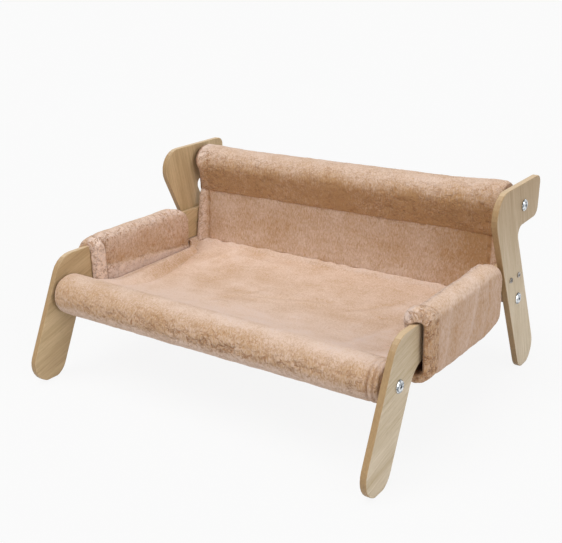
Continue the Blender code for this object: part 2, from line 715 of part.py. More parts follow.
def main():
    for old in list(bpy.data.objects):
        bpy.data.objects.remove(old)
    frame = bpy.data.objects.new("cat_sofa", None)
    bpy.context.collection.objects.link(frame)

    veneer = material("oak_veneer_plywood", (0.52, 0.42, 0.28), 0.5)
    pine = material("round_pine", (0.62, 0.45, 0.26), 0.6)
    zinc = material("zinc_plated_steel", (0.75, 0.76, 0.78), 0.25, 1.0)
    foam = material("padding_foam", (0.80, 0.78, 0.70), 0.95)
    plush = material("rose_beige_plush", (0.60, 0.40, 0.28), 0.95)

    bolt_hole = BOLT_DIAMETER + HOLE_CLEARANCE
    front_drill = drill("front_board_drill", [(FRONT_BAR, bolt_hole)] + [
        (place, ARM_INSERT_DIAMETER + 2 * GAP) for place in SCREW_PLACES], frame)
    rear_drill = drill("rear_post_drill", [(REAR_BAR, bolt_hole), (TOP_BAR, bolt_hole)] + [
        (place, SCREW_DIAMETER + HOLE_CLEARANCE) for place in SCREW_PLACES], frame)
    add_boards("front_leg_arm", front_board_outline(), FRONT_INNER_X, front_drill, veneer, frame)
    add_boards("rear_post", rear_post_outline(), POST_INNER_X, rear_drill, veneer, frame)
    add_crossbars(pine, zinc, frame)
    add_arm_fixings(zinc, frame)

    add_bolster("front_bolster", FRONT_BAR, FRONT_FOAM, FRONT_TAIL, FRONT_TAIL_RISE,
                (plush, foam), frame)
    add_bolster("top_bolster", TOP_BAR, TOP_FOAM, TOP_TAIL, TOP_TAIL_LEAN,
                (plush, foam), frame)
    add_seat(plush, frame)
    add_back(plush, frame)
    add_bar_wrap(plush, frame)
    add_sleeves(plush, frame)


main()
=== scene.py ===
"""The looks of the cat sofa: plush cover, oak veneer boards, zinc-plated bolts, floor and light.

Metres, +Z up, the front towards -Y. Places come from the frame; the cover's pieces are grids of
points that are shaped, sewn and ruffled by the functions below.
"""

from math import acos, atan2, cos, hypot, pi, radians, sin, sqrt, tan

import bmesh
import bpy
import numpy as np
from mathutils import Matrix, Vector


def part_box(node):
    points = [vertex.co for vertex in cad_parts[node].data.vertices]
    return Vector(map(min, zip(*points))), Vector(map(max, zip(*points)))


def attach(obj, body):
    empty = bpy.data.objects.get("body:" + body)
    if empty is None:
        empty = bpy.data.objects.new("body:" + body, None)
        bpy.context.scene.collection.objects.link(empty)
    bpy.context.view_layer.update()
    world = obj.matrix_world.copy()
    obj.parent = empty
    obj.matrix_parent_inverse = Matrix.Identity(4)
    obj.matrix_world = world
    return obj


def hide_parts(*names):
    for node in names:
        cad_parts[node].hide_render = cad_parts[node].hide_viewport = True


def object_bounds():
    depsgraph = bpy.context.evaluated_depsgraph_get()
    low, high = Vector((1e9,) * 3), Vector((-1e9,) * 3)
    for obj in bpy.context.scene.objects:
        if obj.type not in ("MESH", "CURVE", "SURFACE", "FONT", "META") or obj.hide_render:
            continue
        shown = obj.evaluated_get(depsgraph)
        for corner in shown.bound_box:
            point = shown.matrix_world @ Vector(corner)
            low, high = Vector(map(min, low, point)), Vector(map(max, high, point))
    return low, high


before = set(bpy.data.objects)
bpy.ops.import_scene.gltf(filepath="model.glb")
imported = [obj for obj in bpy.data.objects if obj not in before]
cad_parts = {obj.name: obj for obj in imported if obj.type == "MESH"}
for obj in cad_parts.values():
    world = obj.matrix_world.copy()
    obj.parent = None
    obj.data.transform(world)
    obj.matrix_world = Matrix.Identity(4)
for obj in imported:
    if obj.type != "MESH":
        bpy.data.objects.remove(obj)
cad_low, cad_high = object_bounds()
scene = bpy.context.scene

# Camera, at the photograph's viewpoint
CAMERA_PLACE = (0.73985, -1.00682, 0.60439)
CAMERA_AZIMUTH = radians(36.252)
CAMERA_ELEVATION = radians(19.584)
CAMERA_ROLL = radians(1.728)
CAMERA_LENS = 57.48
SENSOR_WIDTH = 36

# Light
WORLD_LEVEL = 0.27
KEY_LIGHT = 2.25
KEY_DIRECTION = (-0.15, -0.32, 1.0)
KEY_SPREAD = radians(50)
SIDE_LIGHT = 1.15
SIDE_DIRECTION = (1.0, -0.15, 0.42)
SIDE_SPREAD = radians(45)
BACKGROUND_LEVEL = 0.955
FLOOR_GLOW = 0.9
FLOOR_SHADOW_TONE = 0.055
FLOOR_COLOUR = 0.78
FLOOR_SIZE = 60

# From here on, a pair says where a change starts, or its middle, and how wide it is. For a wave of
# noise, it says how deep and how long that is. Amounts of tone and curl stand beside their names.

# Bolsters: the pocket's wall and tail, the ends that are drawn in, and the creases near an end
POCKET_WALL = 0.007
TAIL_THICKNESS = 0.008
NOSE_REACH = 0.3
NOSE_SHARE = 0.6
END_ROUND = 0.012
END_DRAW = 0.006
FLAT_LEAN = 0.25
FLAT_START = 0.018
FLAT_LENGTH = 0.08
UNDER_DRAW = (radians(20), -radians(50))
LEFT_DRAW_LENGTH = 0.03
RING_WIDTH = 0.0024
RING_DEPTH = 0.0022
RING_SWAY = (0.0012, 0.02)
RING_LEAST = 0.25
RING_FRONT = (radians(15), radians(50))
# Painted shade in the ring creases, and at the ends where they meet the boards
RING_TONE = 0.55
END_SHADE = 0.006
END_SHADE_FADE = 0.004
END_TONE = 0.8
FOAM_CLEARANCE = 0.0003
FOAM_SKIN = 0.0003
FOAM_CELLS = 0.006
FOAM_ROUND = 0.001
FOAM_CUT = (0.25, 0.5, 0.75, 0.93)

# Pile round the bolsters
FRONT_LEFT = (-0.02, -0.12)
TUFT_END = (0.247, 0.122)
TUFT_END_WIDTH = 0.014
TUFT_END_SQUASH = 1.5
TOP_SWAY = (24, 0.038)
TOP_MOTTLE = (0.26, 0.03)
ROUND_STRETCH = (1, 2, 2)

# Seat
SEAT_THICKNESS = 0.0085
SEAT_SAG = 0.02
SEAT_EDGE_HEIGHT = 0.1195
SEAT_FRONT_HEIGHT = 0.1361
CREASE_HEIGHT = 0.1275
FRONT_FADE = 0.063
REAR_FADE = 0.043
BAND_RISE = 0.006
BAND_VALLEY = 0.0022
BAND_SKEW = 0.8
BAND_TO_SEAT = (0.45, 0.55)
BAND_FOOT = (1.0, 0.1)
BAND_EDGE = [(-0.131, 0.05), (-0.1, 0.05), (-0.046, 0.049), (-0.013, 0.041), (0.019, 0.034),
             (0.082, 0.021), (0.129, 0.016), (0.153, 0.014)]
EDGE_TOP = 0.1336
EDGE_FRONT = (0.1025, 0.006)
EDGE_REAR = (0.149, -0.004)
EDGE_SIDE = (0.0084, -0.006)
EDGE_TUCK = (0.109, 0.01)
UNDER_ARM_REACH = 0.0055
UNDER_ARM_SIDE = (UNDER_ARM_REACH, -0.002)
UNDER_ARM_FRONT = (0.11, 0.002)
UNDER_ARM_START = (0.0003, 0.002)
UNDER_ARM_CAP = 0.1337
CORNER_REACH = 0.0078
CORNER_LIFT = 0.0075
CORNER_FRONT = (0.104, 0.03)
CORNER_REAR = (0.147, -0.011)
CORNER_SIDE = (0.026, -0.026)
CREASE_WELT = 0.0036
WELT_SWAY = (1.7, 0.024)
WELT_GAP = 0.0003
WELT_START = (-0.011, 0.008)
WELT_ROWS = (0.0024, 0.0016, 0.0008, 0.0)
WELT_MIDDLE = -0.001
WELT_CLEAR = 0.0022
SEAT_ROUNDING = 0.0006
ROUNDING_REACH = 0.004
SEAT_FADE = 0.12
SEAT_CURL = 0.1
# Painted shade in the tuck at each corner beside an arm
TUCKED_TONE = 0.65

# Back
BACK_THICKNESS = 0.007
BACK_BELLY = 0.0024
BACK_HEM = 0.018
HEM_BULGE = 0.0045
HEM_LOW_BULGE = 0.007
HEM_FORWARD = 0.0022
HEM_LOW_FORWARD = 0.0105
HEM_SIDE = (BACK_HEM, -0.004)
HEM_SIDE_BROAD = (BACK_HEM, -0.012)
HEM_SWAY = (0.003, 0.02)
HEM_DRAW = 0.0016
HEM_DRAW_WIDTH = 0.0024
HEM_SHADE_WIDTH = 0.004
HEM_LINE_WIDTH = 0.0018
HEM_LINE_TONE = 0.26
HEM_TOP = 0.004
HEM_TOP_BROAD = 0.012
GATHER = 0.0034
BACK_ROUNDING = 0.0004
BACK_ROUND_REACH = 0.003
BACK_TOP = (0.8, 0.2)
BACK_LEFT_REACH = 0.001
BACK_TOP_RISE = 0.0028
BACK_SHADE = (0.24, 0.188)
BACK_SHADE_REACH = (0.04, 0.045)
BACK_DRIFT = (0.22, 0.045)

# Arm sleeves
SLEEVE_INNER_WALL = 0.008
SLEEVE_OUTER_WALL = 0.009
SLEEVE_HOLE_LOW = 0.117
SLEEVE_HOLE_HIGH = 0.1858
SLEEVE_LOW = 0.107
SLEEVE_HIGH = 0.201
SLEEVE_DROOP = 0.005
SLEEVE_REAR_HEM = 0.02
SLEEVE_POST_GAP = 0.0045
SLEEVE_REAR_DRAW = 0.0075
SLEEVE_DRAW_LENGTH = 0.045
FRONT_DROP_LENGTH = 0.036
SLEEVE_SWELL = 0.002
RECESS_HIGH = 0.149
RECESS_LOW = 0.127
RECESS_DEPTH = 0.0036
RECESS_EDGE = (-0.003, 0.005)
RECESS_FADE = 0.02
RECESS_WAVE = (0.9, 0.03)
RECESS_LEVEL = 0.75
BELOW_RECESS = (0.001, -0.009)
TUCK = (0.001, 0.0018)
TUCK_WAVE = (2.5, 0.022)
POST_WIDTH = 0.058
POST_LEAN = radians(24.5)
FOOT_FLAT = 0.02
SLEEVE_STEP = 0.0013
HEM_STEP = 0.0023
LIP_REACH = 0.008
LIP_SIDE = 0.007
HEM_PUFF = 0.0012
LIP_WAVE = (0.0011, 0.01)
LIP_WAVE_REACH = 0.012
REACH_TURN = (0.178, 0.012)
REACH_SPREAD = 1.3
SLACK_FRONT = (0.06, 0.16)
SLACK_REAR = (1.0, -0.25)
HEM_WANDER = (0.0016, 0.018)
HEM_RISE = (0.8, 0.2)
HEM_EDGE = 0.0022
REAR_HEM_EDGE = 0.004
AFTER_HEM = (0.01, 0.012)
CROWN = (0.78, 0.12)
INNER_FACE = 0.006
PUCKER = (0.6, 0.007)
SEAM_WIDTH = 0.0021
REAR_SEAM_WIDTH = 0.002
SEAM_DEPTH = 0.0028
REAR_SEAM_DEPTH = 0.0008
MOUTH_GAP = 0.0026
MOUTH_DEPTH = 0.03
RIPPLE = 0.0135
RIPPLE_DEPTH = 0.0015
RIPPLE_LEAN = 0.4
RIPPLE_SWAY = (0.6, 0.02)
RIPPLE_MIDDLE = (0.07, 0.026)
RIPPLE_LOW = (0.14, 0.02)
LIP_TOP = 0.0132
LIP_LOW = 0.008
DUSK = 0.37
DUSK_DROP = 0.19
HEM_LIGHT = 0.35
HEM_CURLS = 0.8
# Looks of each sleeve's inside: dark with painted shade
LINING_PAINTED_SHADE = {"painted_shade": 0.75, "nap_and_painted_light": 0.8, "curly": 0.2}

# Wrap round the lower rear bar
WRAP_RADIUS = 0.0148
WRAP_TAIL = 0.0175
BAR_CLEARANCE = 0.0103
WRAP_LIP = 0.002
WRAP_LIP_REACH = 0.003
WRAP_CURL = 0.3
WRAP_NAP = 0.4

# Fineness of the grids
ALONG_STEP = 0.001
ROUND_STEP = 0.00145
SHEET_STEP = 0.002
WRAP_STEP = 0.0022
END_STEPS = 12
LIP_STEPS = 6
POCKET_ARC = 90
INNER_RINGS = 24
WRAP_COUNT = 64
CORE_RINGS = 12
FOAM_COUNT = 64
FOAM_RINGS = 140
SLEEVE_COUNT = 176
SLEEVE_ARC = 40
SLEEVE_LIP_STEPS = 10
LINING_RINGS = 16
LINING_ENDS = (0.012, 0.988)
CURVE_STEPS = 60

# Places in a sheet's UV: the top's share, the rim's band and the underside's start
UV_TOP = 0.48
UV_RIM = (0.485, 0.515)
UV_UNDER = 0.52

# Pile: tufts and curls of plush with crevices between them, toned with painted shade
PILE_STRETCH = (1, 1.5, 2.6)
TUFT = 0.0026
TUFT_DEPTH = 0.0005
TUFT_TONE = 0.22
TUFT_CALM = 0.4
CLUMP = 0.006
CURL = 0.0038
CURL_SWAY = 0.9
CURL_EDGE = 0.12
CURL_DEPTH = 0.0012
CURL_BREAK = 0.008
CURL_CONTRAST = 3.0
CURL_TONE = 0.56
CURL_SPARE = 0.24
CLUMP_SHARE = 0.5
LINING_CURL = 0.15
LINING_NAP = 0.45
TOUSLE = (0.0007, 0.009)
LUMP = (0.0012, 0.048)
DENT = (0.0008, 0.016)

# Painted reflections of the plating, dark and bright; the screws' pair darker, as painted shade
ZINC_PAINTED_REFLECTIONS = ((0.16, 0.18, 0.2, 1), (0.76, 0.79, 0.82, 1))
SCREW_SHADE_AND_REFLECTIONS = ((0.12, 0.1, 0.09, 1), (0.46, 0.44, 0.42, 1))


# Noise and easing
def smooth(share):
    """Eases from 0 to 1."""
    share = np.clip(share, 0, 1)
    return share * share * (3 - 2 * share)


def bell(distance, width):
    """1 at no distance, fading to 0 beyond the width."""
    return np.exp(-(np.asarray(distance) / width) ** 2)


def past(value, place):
    """Eases from 0 to 1 from a place's start on, over its width, which is negative for downward."""
    start, width = place
    return smooth((value - start) / width)


def near(value, place):
    """1 at a place's middle, fading to 0 beyond its width."""
    at, width = place
    return bell(value - at, width)


def summed(**parts):
    """The sum of named parts, each an amount and a share of it."""
    return sum(amount * share for amount, share in parts.values())


def hashed(cells, seed):
    """A fixed scattered number from 0 to 1 for each whole-number cell."""
    x, y, z = (cells[..., axis].astype(np.int64) for axis in range(3))
    mixed = (x * 73856093) ^ (y * 19349663) ^ (z * 83492791) ^ (seed * 26544357)
    mixed = (mixed ^ (mixed >> 13)) * 1274126177
    return ((mixed ^ (mixed >> 16)) & 0xFFFFFF) / 0xFFFFFF


def noise(points, size, seed, stretch=(1, 1, 1)):
    """Smooth noise from about -0.8 to 0.8 whose cells have a real size, times the stretch."""
    scaled = points / (np.array(stretch) * size)
    base = np.floor(scaled)
    inside = scaled - base
    ease = inside ** 3 * (inside * (inside * 6 - 15) + 10)
    total = np.zeros(points.shape[:-1])
    for corner in np.ndindex(2, 2, 2):
        corner = np.array(corner)
        slope = np.stack([hashed(base + corner, seed + axis) for axis in range(3)], -1) * 2 - 1
        weight = np.prod(np.where(corner == 1, ease, 1 - ease), axis=-1)
        total += weight * np.sum(slope * (inside - corner), axis=-1)
    return total


def wave(points, depth_and_size, seed, stretch=(1, 1, 1)):
    """Noise of a depth and a size."""
    depth, size = depth_and_size
    return depth * noise(points, size, seed, stretch)


def crevices(points, size, seed, stretch=(1, 1, 1)):
    """1 in the crevices between curls of pile, falling to 0 on the curls."""
    sway = np.stack([noise(points, size * 2, seed + 11 * axis) for axis in (1, 2, 3)], -1)
    field = noise(points + sway * size * CURL_SWAY, size, seed, stretch)
    return np.exp(-(field / CURL_EDGE) ** 2)


def ruffle(points, normals, curly, nap_and_painted_light, seed, drift=(1, 1, 1)):
    """Plush with its lumps, tufts and curls: its points, and what its material reads from them."""
    tuft = noise(points, TUFT, seed + 3, PILE_STRETCH) * (TUFT_CALM + (1 - TUFT_CALM) * curly)
    broken = smooth(0.5 - CURL_SPARE + CURL_CONTRAST * noise(points, CURL_BREAK, seed + 6, drift))
    clumps = CLUMP_SHARE * crevices(points, CLUMP, seed, drift)
    deep = np.maximum(clumps, crevices(points, CURL, seed + 5, drift)) * broken * curly
    height = wave(points, LUMP, seed + 1) + wave(points, DENT, seed + 2)
    height = height + curly * wave(points, TOUSLE, seed + 7)
    height = height + TUFT_DEPTH * tuft - CURL_DEPTH * deep
    # Lighter tufts and darker curl crevices: painted shade of the pile
    tone = nap_and_painted_light - TUFT_TONE * tuft
    looks = {"painted_shade": CURL_TONE * deep, "nap_and_painted_light": tone, "curly": curly + 0 * tone}
    return points + normals * height[..., None], looks


def ruffle_sheet(top, under, outward, curly, nap_and_painted_light, seed):
    """A sheet with plush on both its faces: its two grids, and what its material reads from them."""
    calm = LINING_CURL + 0 * nap_and_painted_light
    away = np.broadcast_to(outward, top.shape)
    top, looks = ruffle(top, away, curly, nap_and_painted_light, seed)
    under, back_looks = ruffle(under, -away, calm, LINING_NAP + 0 * nap_and_painted_light, seed + 17)
    return top, under, {title: np.stack([looks[title], back_looks[title]]) for title in looks}


# Grids of points
def grid_normals(points, centre_line):
    """Unit normals of a tube of points, pointing away from its centre line."""
    across = np.roll(points, -1, axis=1) - np.roll(points, 1, axis=1)
    normals = np.cross(np.gradient(points, axis=0), across)
    normals /= np.maximum(np.linalg.norm(normals, axis=-1, keepdims=True), 1e-12)
    facing = np.sum(normals * (points - centre_line), axis=-1).mean()
    return normals if facing > 0 else -normals


def evenly(outline, count):
    """Points evenly spaced along a closed outline."""
    closed = np.vstack([outline, outline[:1]])
    lengths = np.concatenate([[0], np.cumsum(np.linalg.norm(np.diff(closed, axis=0), axis=1))])
    places = np.linspace(0, lengths[-1], count, endpoint=False)
    return np.stack([np.interp(places, lengths, closed[:, axis]) for axis in (0, 1)], -1)


def cells(rows, columns):
    """Rows and columns of the four corners of each cell of a grid."""
    row, column = np.meshgrid(np.arange(rows), np.arange(columns), indexing="ij")
    return [(row, column), (row, column + 1), (row + 1, column + 1), (row + 1, column)]


def tube(outer, inner):
    """Points, faces and UV of a closed tube of fabric, its outer rings and then its inner ones."""
    rings = np.concatenate([outer, inner[::-1]])
    rows, columns = rings.shape[:2]
    quads = cells(rows, columns)
    faces = np.stack([(r % rows) * columns + c % columns for r, c in quads], -1)
    uv = np.stack([np.stack([r / rows, c / columns], -1) for r, c in quads], -2)
    return rings.reshape(-1, 3), faces.reshape(-1, 4), uv.reshape(-1, 2)


def slab(top, low):
    """Points, faces and UV of a closed sheet between two grids of points."""
    rows, columns = top.shape[:2]
    quads = cells(rows - 1, columns - 1)
    flat = np.stack([r * columns + c for r, c in quads], -1).reshape(-1, 4)
    spread = np.stack([np.stack([r / rows * UV_TOP, c / columns], -1) for r, c in quads], -2)
    spread = spread.reshape(-1, 2)
    rim = np.concatenate([
        np.arange(columns),
        np.arange(1, rows) * columns + columns - 1,
        (rows - 1) * columns + np.arange(columns - 2, -1, -1),
        np.arange(rows - 2, 0, -1) * columns])
    after = np.roll(rim, -1)
    below = rows * columns
    side = np.stack([rim, after, after + below, rim + below], -1)
    step = np.arange(len(rim)) / len(rim)
    ahead = step + 1 / len(rim)
    edges = ((UV_RIM[0], step), (UV_RIM[0], ahead), (UV_RIM[1], ahead), (UV_RIM[1], step))
    band = np.stack([np.stack([np.full_like(step, u), v], -1) for u, v in edges], -2)
    points = np.concatenate([top.reshape(-1, 3), low.reshape(-1, 3)])
    faces = np.concatenate([flat, flat + below, side])
    return points, faces, np.concatenate([spread, spread + (UV_UNDER, 0), band.reshape(-1, 2)])


def swept(xs, sections, centre):
    """Rings along X, from a section for each place, given as (y, z) from the centre."""
    return np.array([[(x, centre[0] + y, centre[1] + z) for y, z in section]
                     for x, section in zip(xs, sections)])


def new_object(name, data):
    """An object in the scene."""
    made = bpy.data.objects.new(name, data)
    scene.collection.objects.link(made)
    return made


def add_piece(name, node, shape, looks, surface):
    """A mesh in the scene that rides on the frame and stands for a node."""
    points, faces, uv = shape
    mesh = bpy.data.meshes.new(name)
    mesh.from_pydata(points.tolist(), [], faces.tolist())
    layer = mesh.uv_layers.new(name="OFBake")
    layer.data.foreach_set("uv", np.ascontiguousarray(uv, dtype=np.float32).ravel())
    for title, values in looks.items():
        levels = np.zeros(len(points), dtype=np.float32)
        levels[:values.size] = values.ravel()
        mesh.attributes.new(title, "FLOAT", "POINT").data.foreach_set("value", levels)
    shell = bmesh.new()
    shell.from_mesh(mesh)
    bmesh.ops.recalc_face_normals(shell, faces=shell.faces)
    shell.to_mesh(mesh)
    shell.free()
    mesh.shade_smooth()
    mesh.materials.append(surface)
    piece = new_object(name, mesh)
    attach(piece, "root")
    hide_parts(node)
    return piece


# Materials
def new_tree(name):
    """A new material with its node tree and its surface shader."""
    made = bpy.data.materials.new(name)
    made.use_nodes = True
    tree = made.node_tree
    return made, tree, tree.nodes["Principled BSDF"]


def feed(tree, node, inputs):
    """Sets a node's inputs, given as (name or index, value or socket)."""
    for title, value in inputs:
        if isinstance(value, bpy.types.NodeSocket):
            tree.links.new(value, node.inputs[title])
        else:
            node.inputs[title].default_value = value


def add_node(tree, kind, inputs=(), **settings):
    """A node with its settings and inputs."""
    made = tree.nodes.new(f"ShaderNode{kind}")
    for title, value in settings.items():
        setattr(made, title, value)
    feed(tree, made, inputs)
    return made


def place_in(tree, scale=(1, 1, 1), turn=(0, 0, 0)):
    """Object coordinates, turned and then scaled."""
    coordinates = add_node(tree, "TexCoord")
    turned = add_node(tree, "Mapping", [("Vector", coordinates.outputs["Object"]),
                                        ("Rotation", turn)])
    scaled = add_node(tree, "Mapping", [("Vector", turned.outputs[0]), ("Scale", scale)])
    return scaled.outputs[0]


def noise_in(tree, scale, stretch=(1, 1, 1), detail=2.0, roughness=0.5, distortion=0.0,
             turn=(0, 0, 0)):
    """A noise texture's value in object coordinates."""
    return add_node(tree, "TexNoise", [
        ("Vector", place_in(tree, stretch, turn)), ("Scale", scale), ("Detail", detail),
        ("Roughness", roughness), ("Distortion", distortion)]).outputs["Fac"]


def ranged(value, low, high, to_low=0.0, to_high=1.0):
    """The value mapped from one range to another, and held there."""
    inputs = [("Value", value), ("From Min", low), ("From Max", high), ("To Min", to_low),
              ("To Max", to_high)]
    return add_node(value.id_data, "MapRange", inputs).outputs["Result"]


def blended(share, first, second, mode="MIX"):
    """Two colours mixed by a share."""
    return add_node(share.id_data, "Mix", [(0, share), (6, first), (7, second)],
                    data_type="RGBA", blend_type=mode).outputs[2]


def combined(operation, first, *others):
    """A sum, product or the like of values, taken one after another."""
    for other in others:
        made = add_node(first.id_data, "Math", [(0, first), (1, other)], operation=operation)
        first = made.outputs[0]
    return first


def between(first, second, share):
    """Two values mixed, with a share of the second."""
    return combined("ADD", combined("MULTIPLY", first, 1 - share),
                    combined("MULTIPLY", second, share))


def bumped(height, distance, strength=1.0, under=None):
    """A bump from a height, over another one."""
    inputs = [("Height", height), ("Distance", distance), ("Strength", strength)]
    if under is not None:
        inputs.append(("Normal", under))
    return add_node(height.id_data, "Bump", inputs).outputs["Normal"]


def plush_material():
    """Short dense plush: blotches, strokes of pile, and painted shade in gaps and crevices."""
    made, tree, shader = new_tree("plush")
    strokes, dashes = (1.0, 0.75, 0.36), (0.6, 1.0, 1.0)
    blotch = noise_in(tree, 24, detail=3.0, roughness=0.55)
    smear = noise_in(tree, 62, (0.35, 1.0, 1.0), distortion=0.8)
    clump = noise_in(tree, 440, strokes, detail=1.0, roughness=0.6, distortion=0.6)
    grain = noise_in(tree, 640, strokes, detail=1.0, roughness=0.6)
    swing = noise_in(tree, 165, dashes, detail=1.0, distortion=0.8)
    gap = noise_in(tree, 130, dashes, detail=1.0)
    painted_shade, nap_and_painted_light, curly = (add_node(tree, "Attribute", attribute_name=title).outputs["Fac"]
                           for title in ("painted_shade", "nap_and_painted_light", "curly"))

    pink = (0.724, 0.57, 0.502, 1)
    pale = (0.86, 0.665, 0.54, 1)
    light = (0.745, 0.568, 0.462, 1)
    brown = (0.485, 0.283, 0.136, 1)
    russet = (0.37, 0.19, 0.094, 1)
    deep = (0.235, 0.108, 0.048, 1)
    relief = ranged(curly, 0.0, 1.0, 0.56, 0.74)
    even = ranged(curly, 0.0, 0.9, 0.8, 0.3)
    calm = ranged(curly, 0.3, 0.9, 0.58, 0.38)
    # Lighter tips and browner gaps of the tufts and grain: painted shade of the pile
    tuft = combined("MULTIPLY", ranged(clump, 0.33, 0.67, 0.34, -0.24), calm)
    hair = combined("MULTIPLY", ranged(grain, 0.3, 0.7, 0.42, -0.3), relief)
    cloud = combined("ADD", ranged(blotch, 0.34, 0.66, -0.2, 0.2),
                     ranged(smear, 0.34, 0.66, -0.13, 0.13))
    tone = combined("ADD", combined("MULTIPLY", cloud, even), nap_and_painted_light, tuft, hair)
    # Light to brown, then pink and pale: the pile's own colour, with painted shade and painted light
    colour = blended(ranged(tone, 0.0, 1.0), light, brown)
    colour = blended(ranged(tone, 0.0, -0.32), colour, pink)
    colour = blended(ranged(tone, -0.3, -0.75), colour, pale)
    # Russet dashes between the curls: painted shade
    off_middle = combined("ABSOLUTE", combined("SUBTRACT", swing, 0.5), 0.0)
    wiggle = combined("MULTIPLY", ranged(off_middle, 0.012, 0.068, 1.0, 0.0),
                      ranged(gap, 0.38, 0.48), ranged(curly, 0.12, 0.95, 0.0, 0.95))
    colour = blended(wiggle, colour, russet)
    # Deep brown: painted shade in crevices, creases, seams, ends and the sleeves' insides
    colour = blended(ranged(painted_shade, 0.1, 0.85, 0.0, 0.9), colour, deep)
    rough = bumped(clump, 0.0012, 0.8)
    rough = bumped(combined("SUBTRACT", grain, wiggle), 0.0008, 0.8, rough)
    feed(tree, shader, [("Base Color", colour), ("Normal", rough), ("Roughness", 0.95),
                        ("Specular IOR Level", 0.12), ("Sheen Weight", 0.35),
                        ("Sheen Roughness", 0.45), ("Sheen Tint", (1.0, 0.84, 0.73, 1))])
    return made


def wood_material(name, grain_angle):
    """Oak veneer with its grain at an angle from +Y towards +Z, and browner sawn edges."""
    made, tree, shader = new_tree(name)
    turn = (-grain_angle, 0, 0)
    streaks = (1.0, 0.035, 1.0)
    broad = noise_in(tree, 55, streaks, distortion=0.3, turn=turn)
    fine = noise_in(tree, 420, streaks, detail=3.0, roughness=0.65, turn=turn)
    pore = noise_in(tree, 1100, (1.0, 0.09, 1.0), detail=1.0, turn=turn)
    tone = ranged(between(broad, fine, 0.55), 0.34, 0.66)

    coordinates = add_node(tree, "TexCoord").outputs
    direction = add_node(tree, "SeparateXYZ", [(0, coordinates["Normal"])]).outputs
    point = add_node(tree, "SeparateXYZ", [(0, coordinates["Object"])]).outputs
    outer = ranged(combined("MULTIPLY", direction[0], point[0]), -0.05, 0.05)
    on_face = ranged(combined("ABSOLUTE", direction[0], 0.0), 0.55, 0.8)

    # Inner faces darker and yellower than outer ones: partly the veneer's tone, partly painted shade
    outer_light, outer_dark = (0.655, 0.55, 0.41, 1), (0.45, 0.345, 0.205, 1)
    inner_light, inner_dark = (0.615, 0.46, 0.27, 1), (0.42, 0.29, 0.15, 1)
    edge_light, edge_dark = (0.455, 0.3, 0.148, 1), (0.33, 0.205, 0.095, 1)
    top_shade_tint, pore_brown, painted_edge_highlight = (0.66, 0.56, 0.44, 1), (0.26, 0.18, 0.1, 1), (0.64, 0.48, 0.3, 1)
    outside = blended(tone, outer_dark, outer_light)
    # Outer faces darker and yellower towards the top: painted shade
    top_shade_share = ranged(point[2], 0.125, 0.29)
    outside = blended(top_shade_share, outside, top_shade_tint, "MULTIPLY")
    inside = blended(tone, inner_dark, inner_light)
    dash = ranged(pore, 0.3, 0.38, 0.3, 0.0)
    face = blended(dash, blended(outer, inside, outside), pore_brown)

    layers = add_node(tree, "TexWave", [("Vector", place_in(tree)), ("Scale", 210.0),
                                        ("Distortion", 0.4), ("Detail", 1.0)],
                      wave_type="BANDS", bands_direction="X").outputs["Fac"]
    saw = noise_in(tree, 600, (1, 0.3, 0.3))
    edge = blended(ranged(between(layers, saw, 0.65), 0.25, 0.75), edge_dark, edge_light)
    # Edges facing up lighter: painted highlight
    edge = blended(ranged(direction[2], 0.8, 0.95, 0.0, 0.8), edge, painted_edge_highlight)
    relief = bumped(pore, 0.0001, 0.3, bumped(fine, 0.00012, 0.5))
    feed(tree, shader, [("Base Color", blended(on_face, edge, face)), ("Normal", relief),
                        ("Roughness", ranged(fine, 0.3, 0.7, 0.52, 0.4)),
                        ("Specular IOR Level", 0.4)])
    return made


def bar_material():
    """Turned pine with its grain along the bar."""
    made, tree, shader = new_tree("turned_pine")
    grain = noise_in(tree, 260, (0.04, 1, 1), detail=3.0, roughness=0.6, distortion=0.5)
    dark, light = (0.52, 0.35, 0.18, 1), (0.68, 0.5, 0.29, 1)
    feed(tree, shader, [("Base Color", blended(ranged(grain, 0.3, 0.7), dark, light)),
                        ("Roughness", ranged(grain, 0.3, 0.7, 0.62, 0.5)),
                        ("Normal", bumped(grain, 0.0002, 0.4))])
    return made


def zinc_material(name, dark_reflection, bright_reflection):
    """Zinc plating with painted reflections, clouds from dark to bright, and rub marks."""
    made, tree, shader = new_tree(name)
    cloud = noise_in(tree, 300, roughness=0.55)
    rub = noise_in(tree, 2400, (1, 1, 0.15), detail=1.0)
    colour = blended(ranged(cloud, 0.4, 0.58), dark_reflection, bright_reflection)
    feed(tree, shader, [("Base Color", colour), ("Metallic", 1.0),
                        ("Roughness", ranged(cloud, 0.3, 0.7, 0.3, 0.2)),
                        ("Normal", bumped(rub, 0.00004, 0.4))])
    return made


def cap_material():
    """Oak-coloured end caps, with faint specks."""
    made, tree, shader = new_tree("oak_cap")
    speck = noise_in(tree, 900)
    dark, light = (0.43, 0.31, 0.165, 1), (0.56, 0.42, 0.245, 1)
    feed(tree, shader, [("Base Color", blended(ranged(speck, 0.3, 0.7), dark, light)),
                        ("Roughness", ranged(speck, 0.3, 0.7, 0.6, 0.5))])
    return made


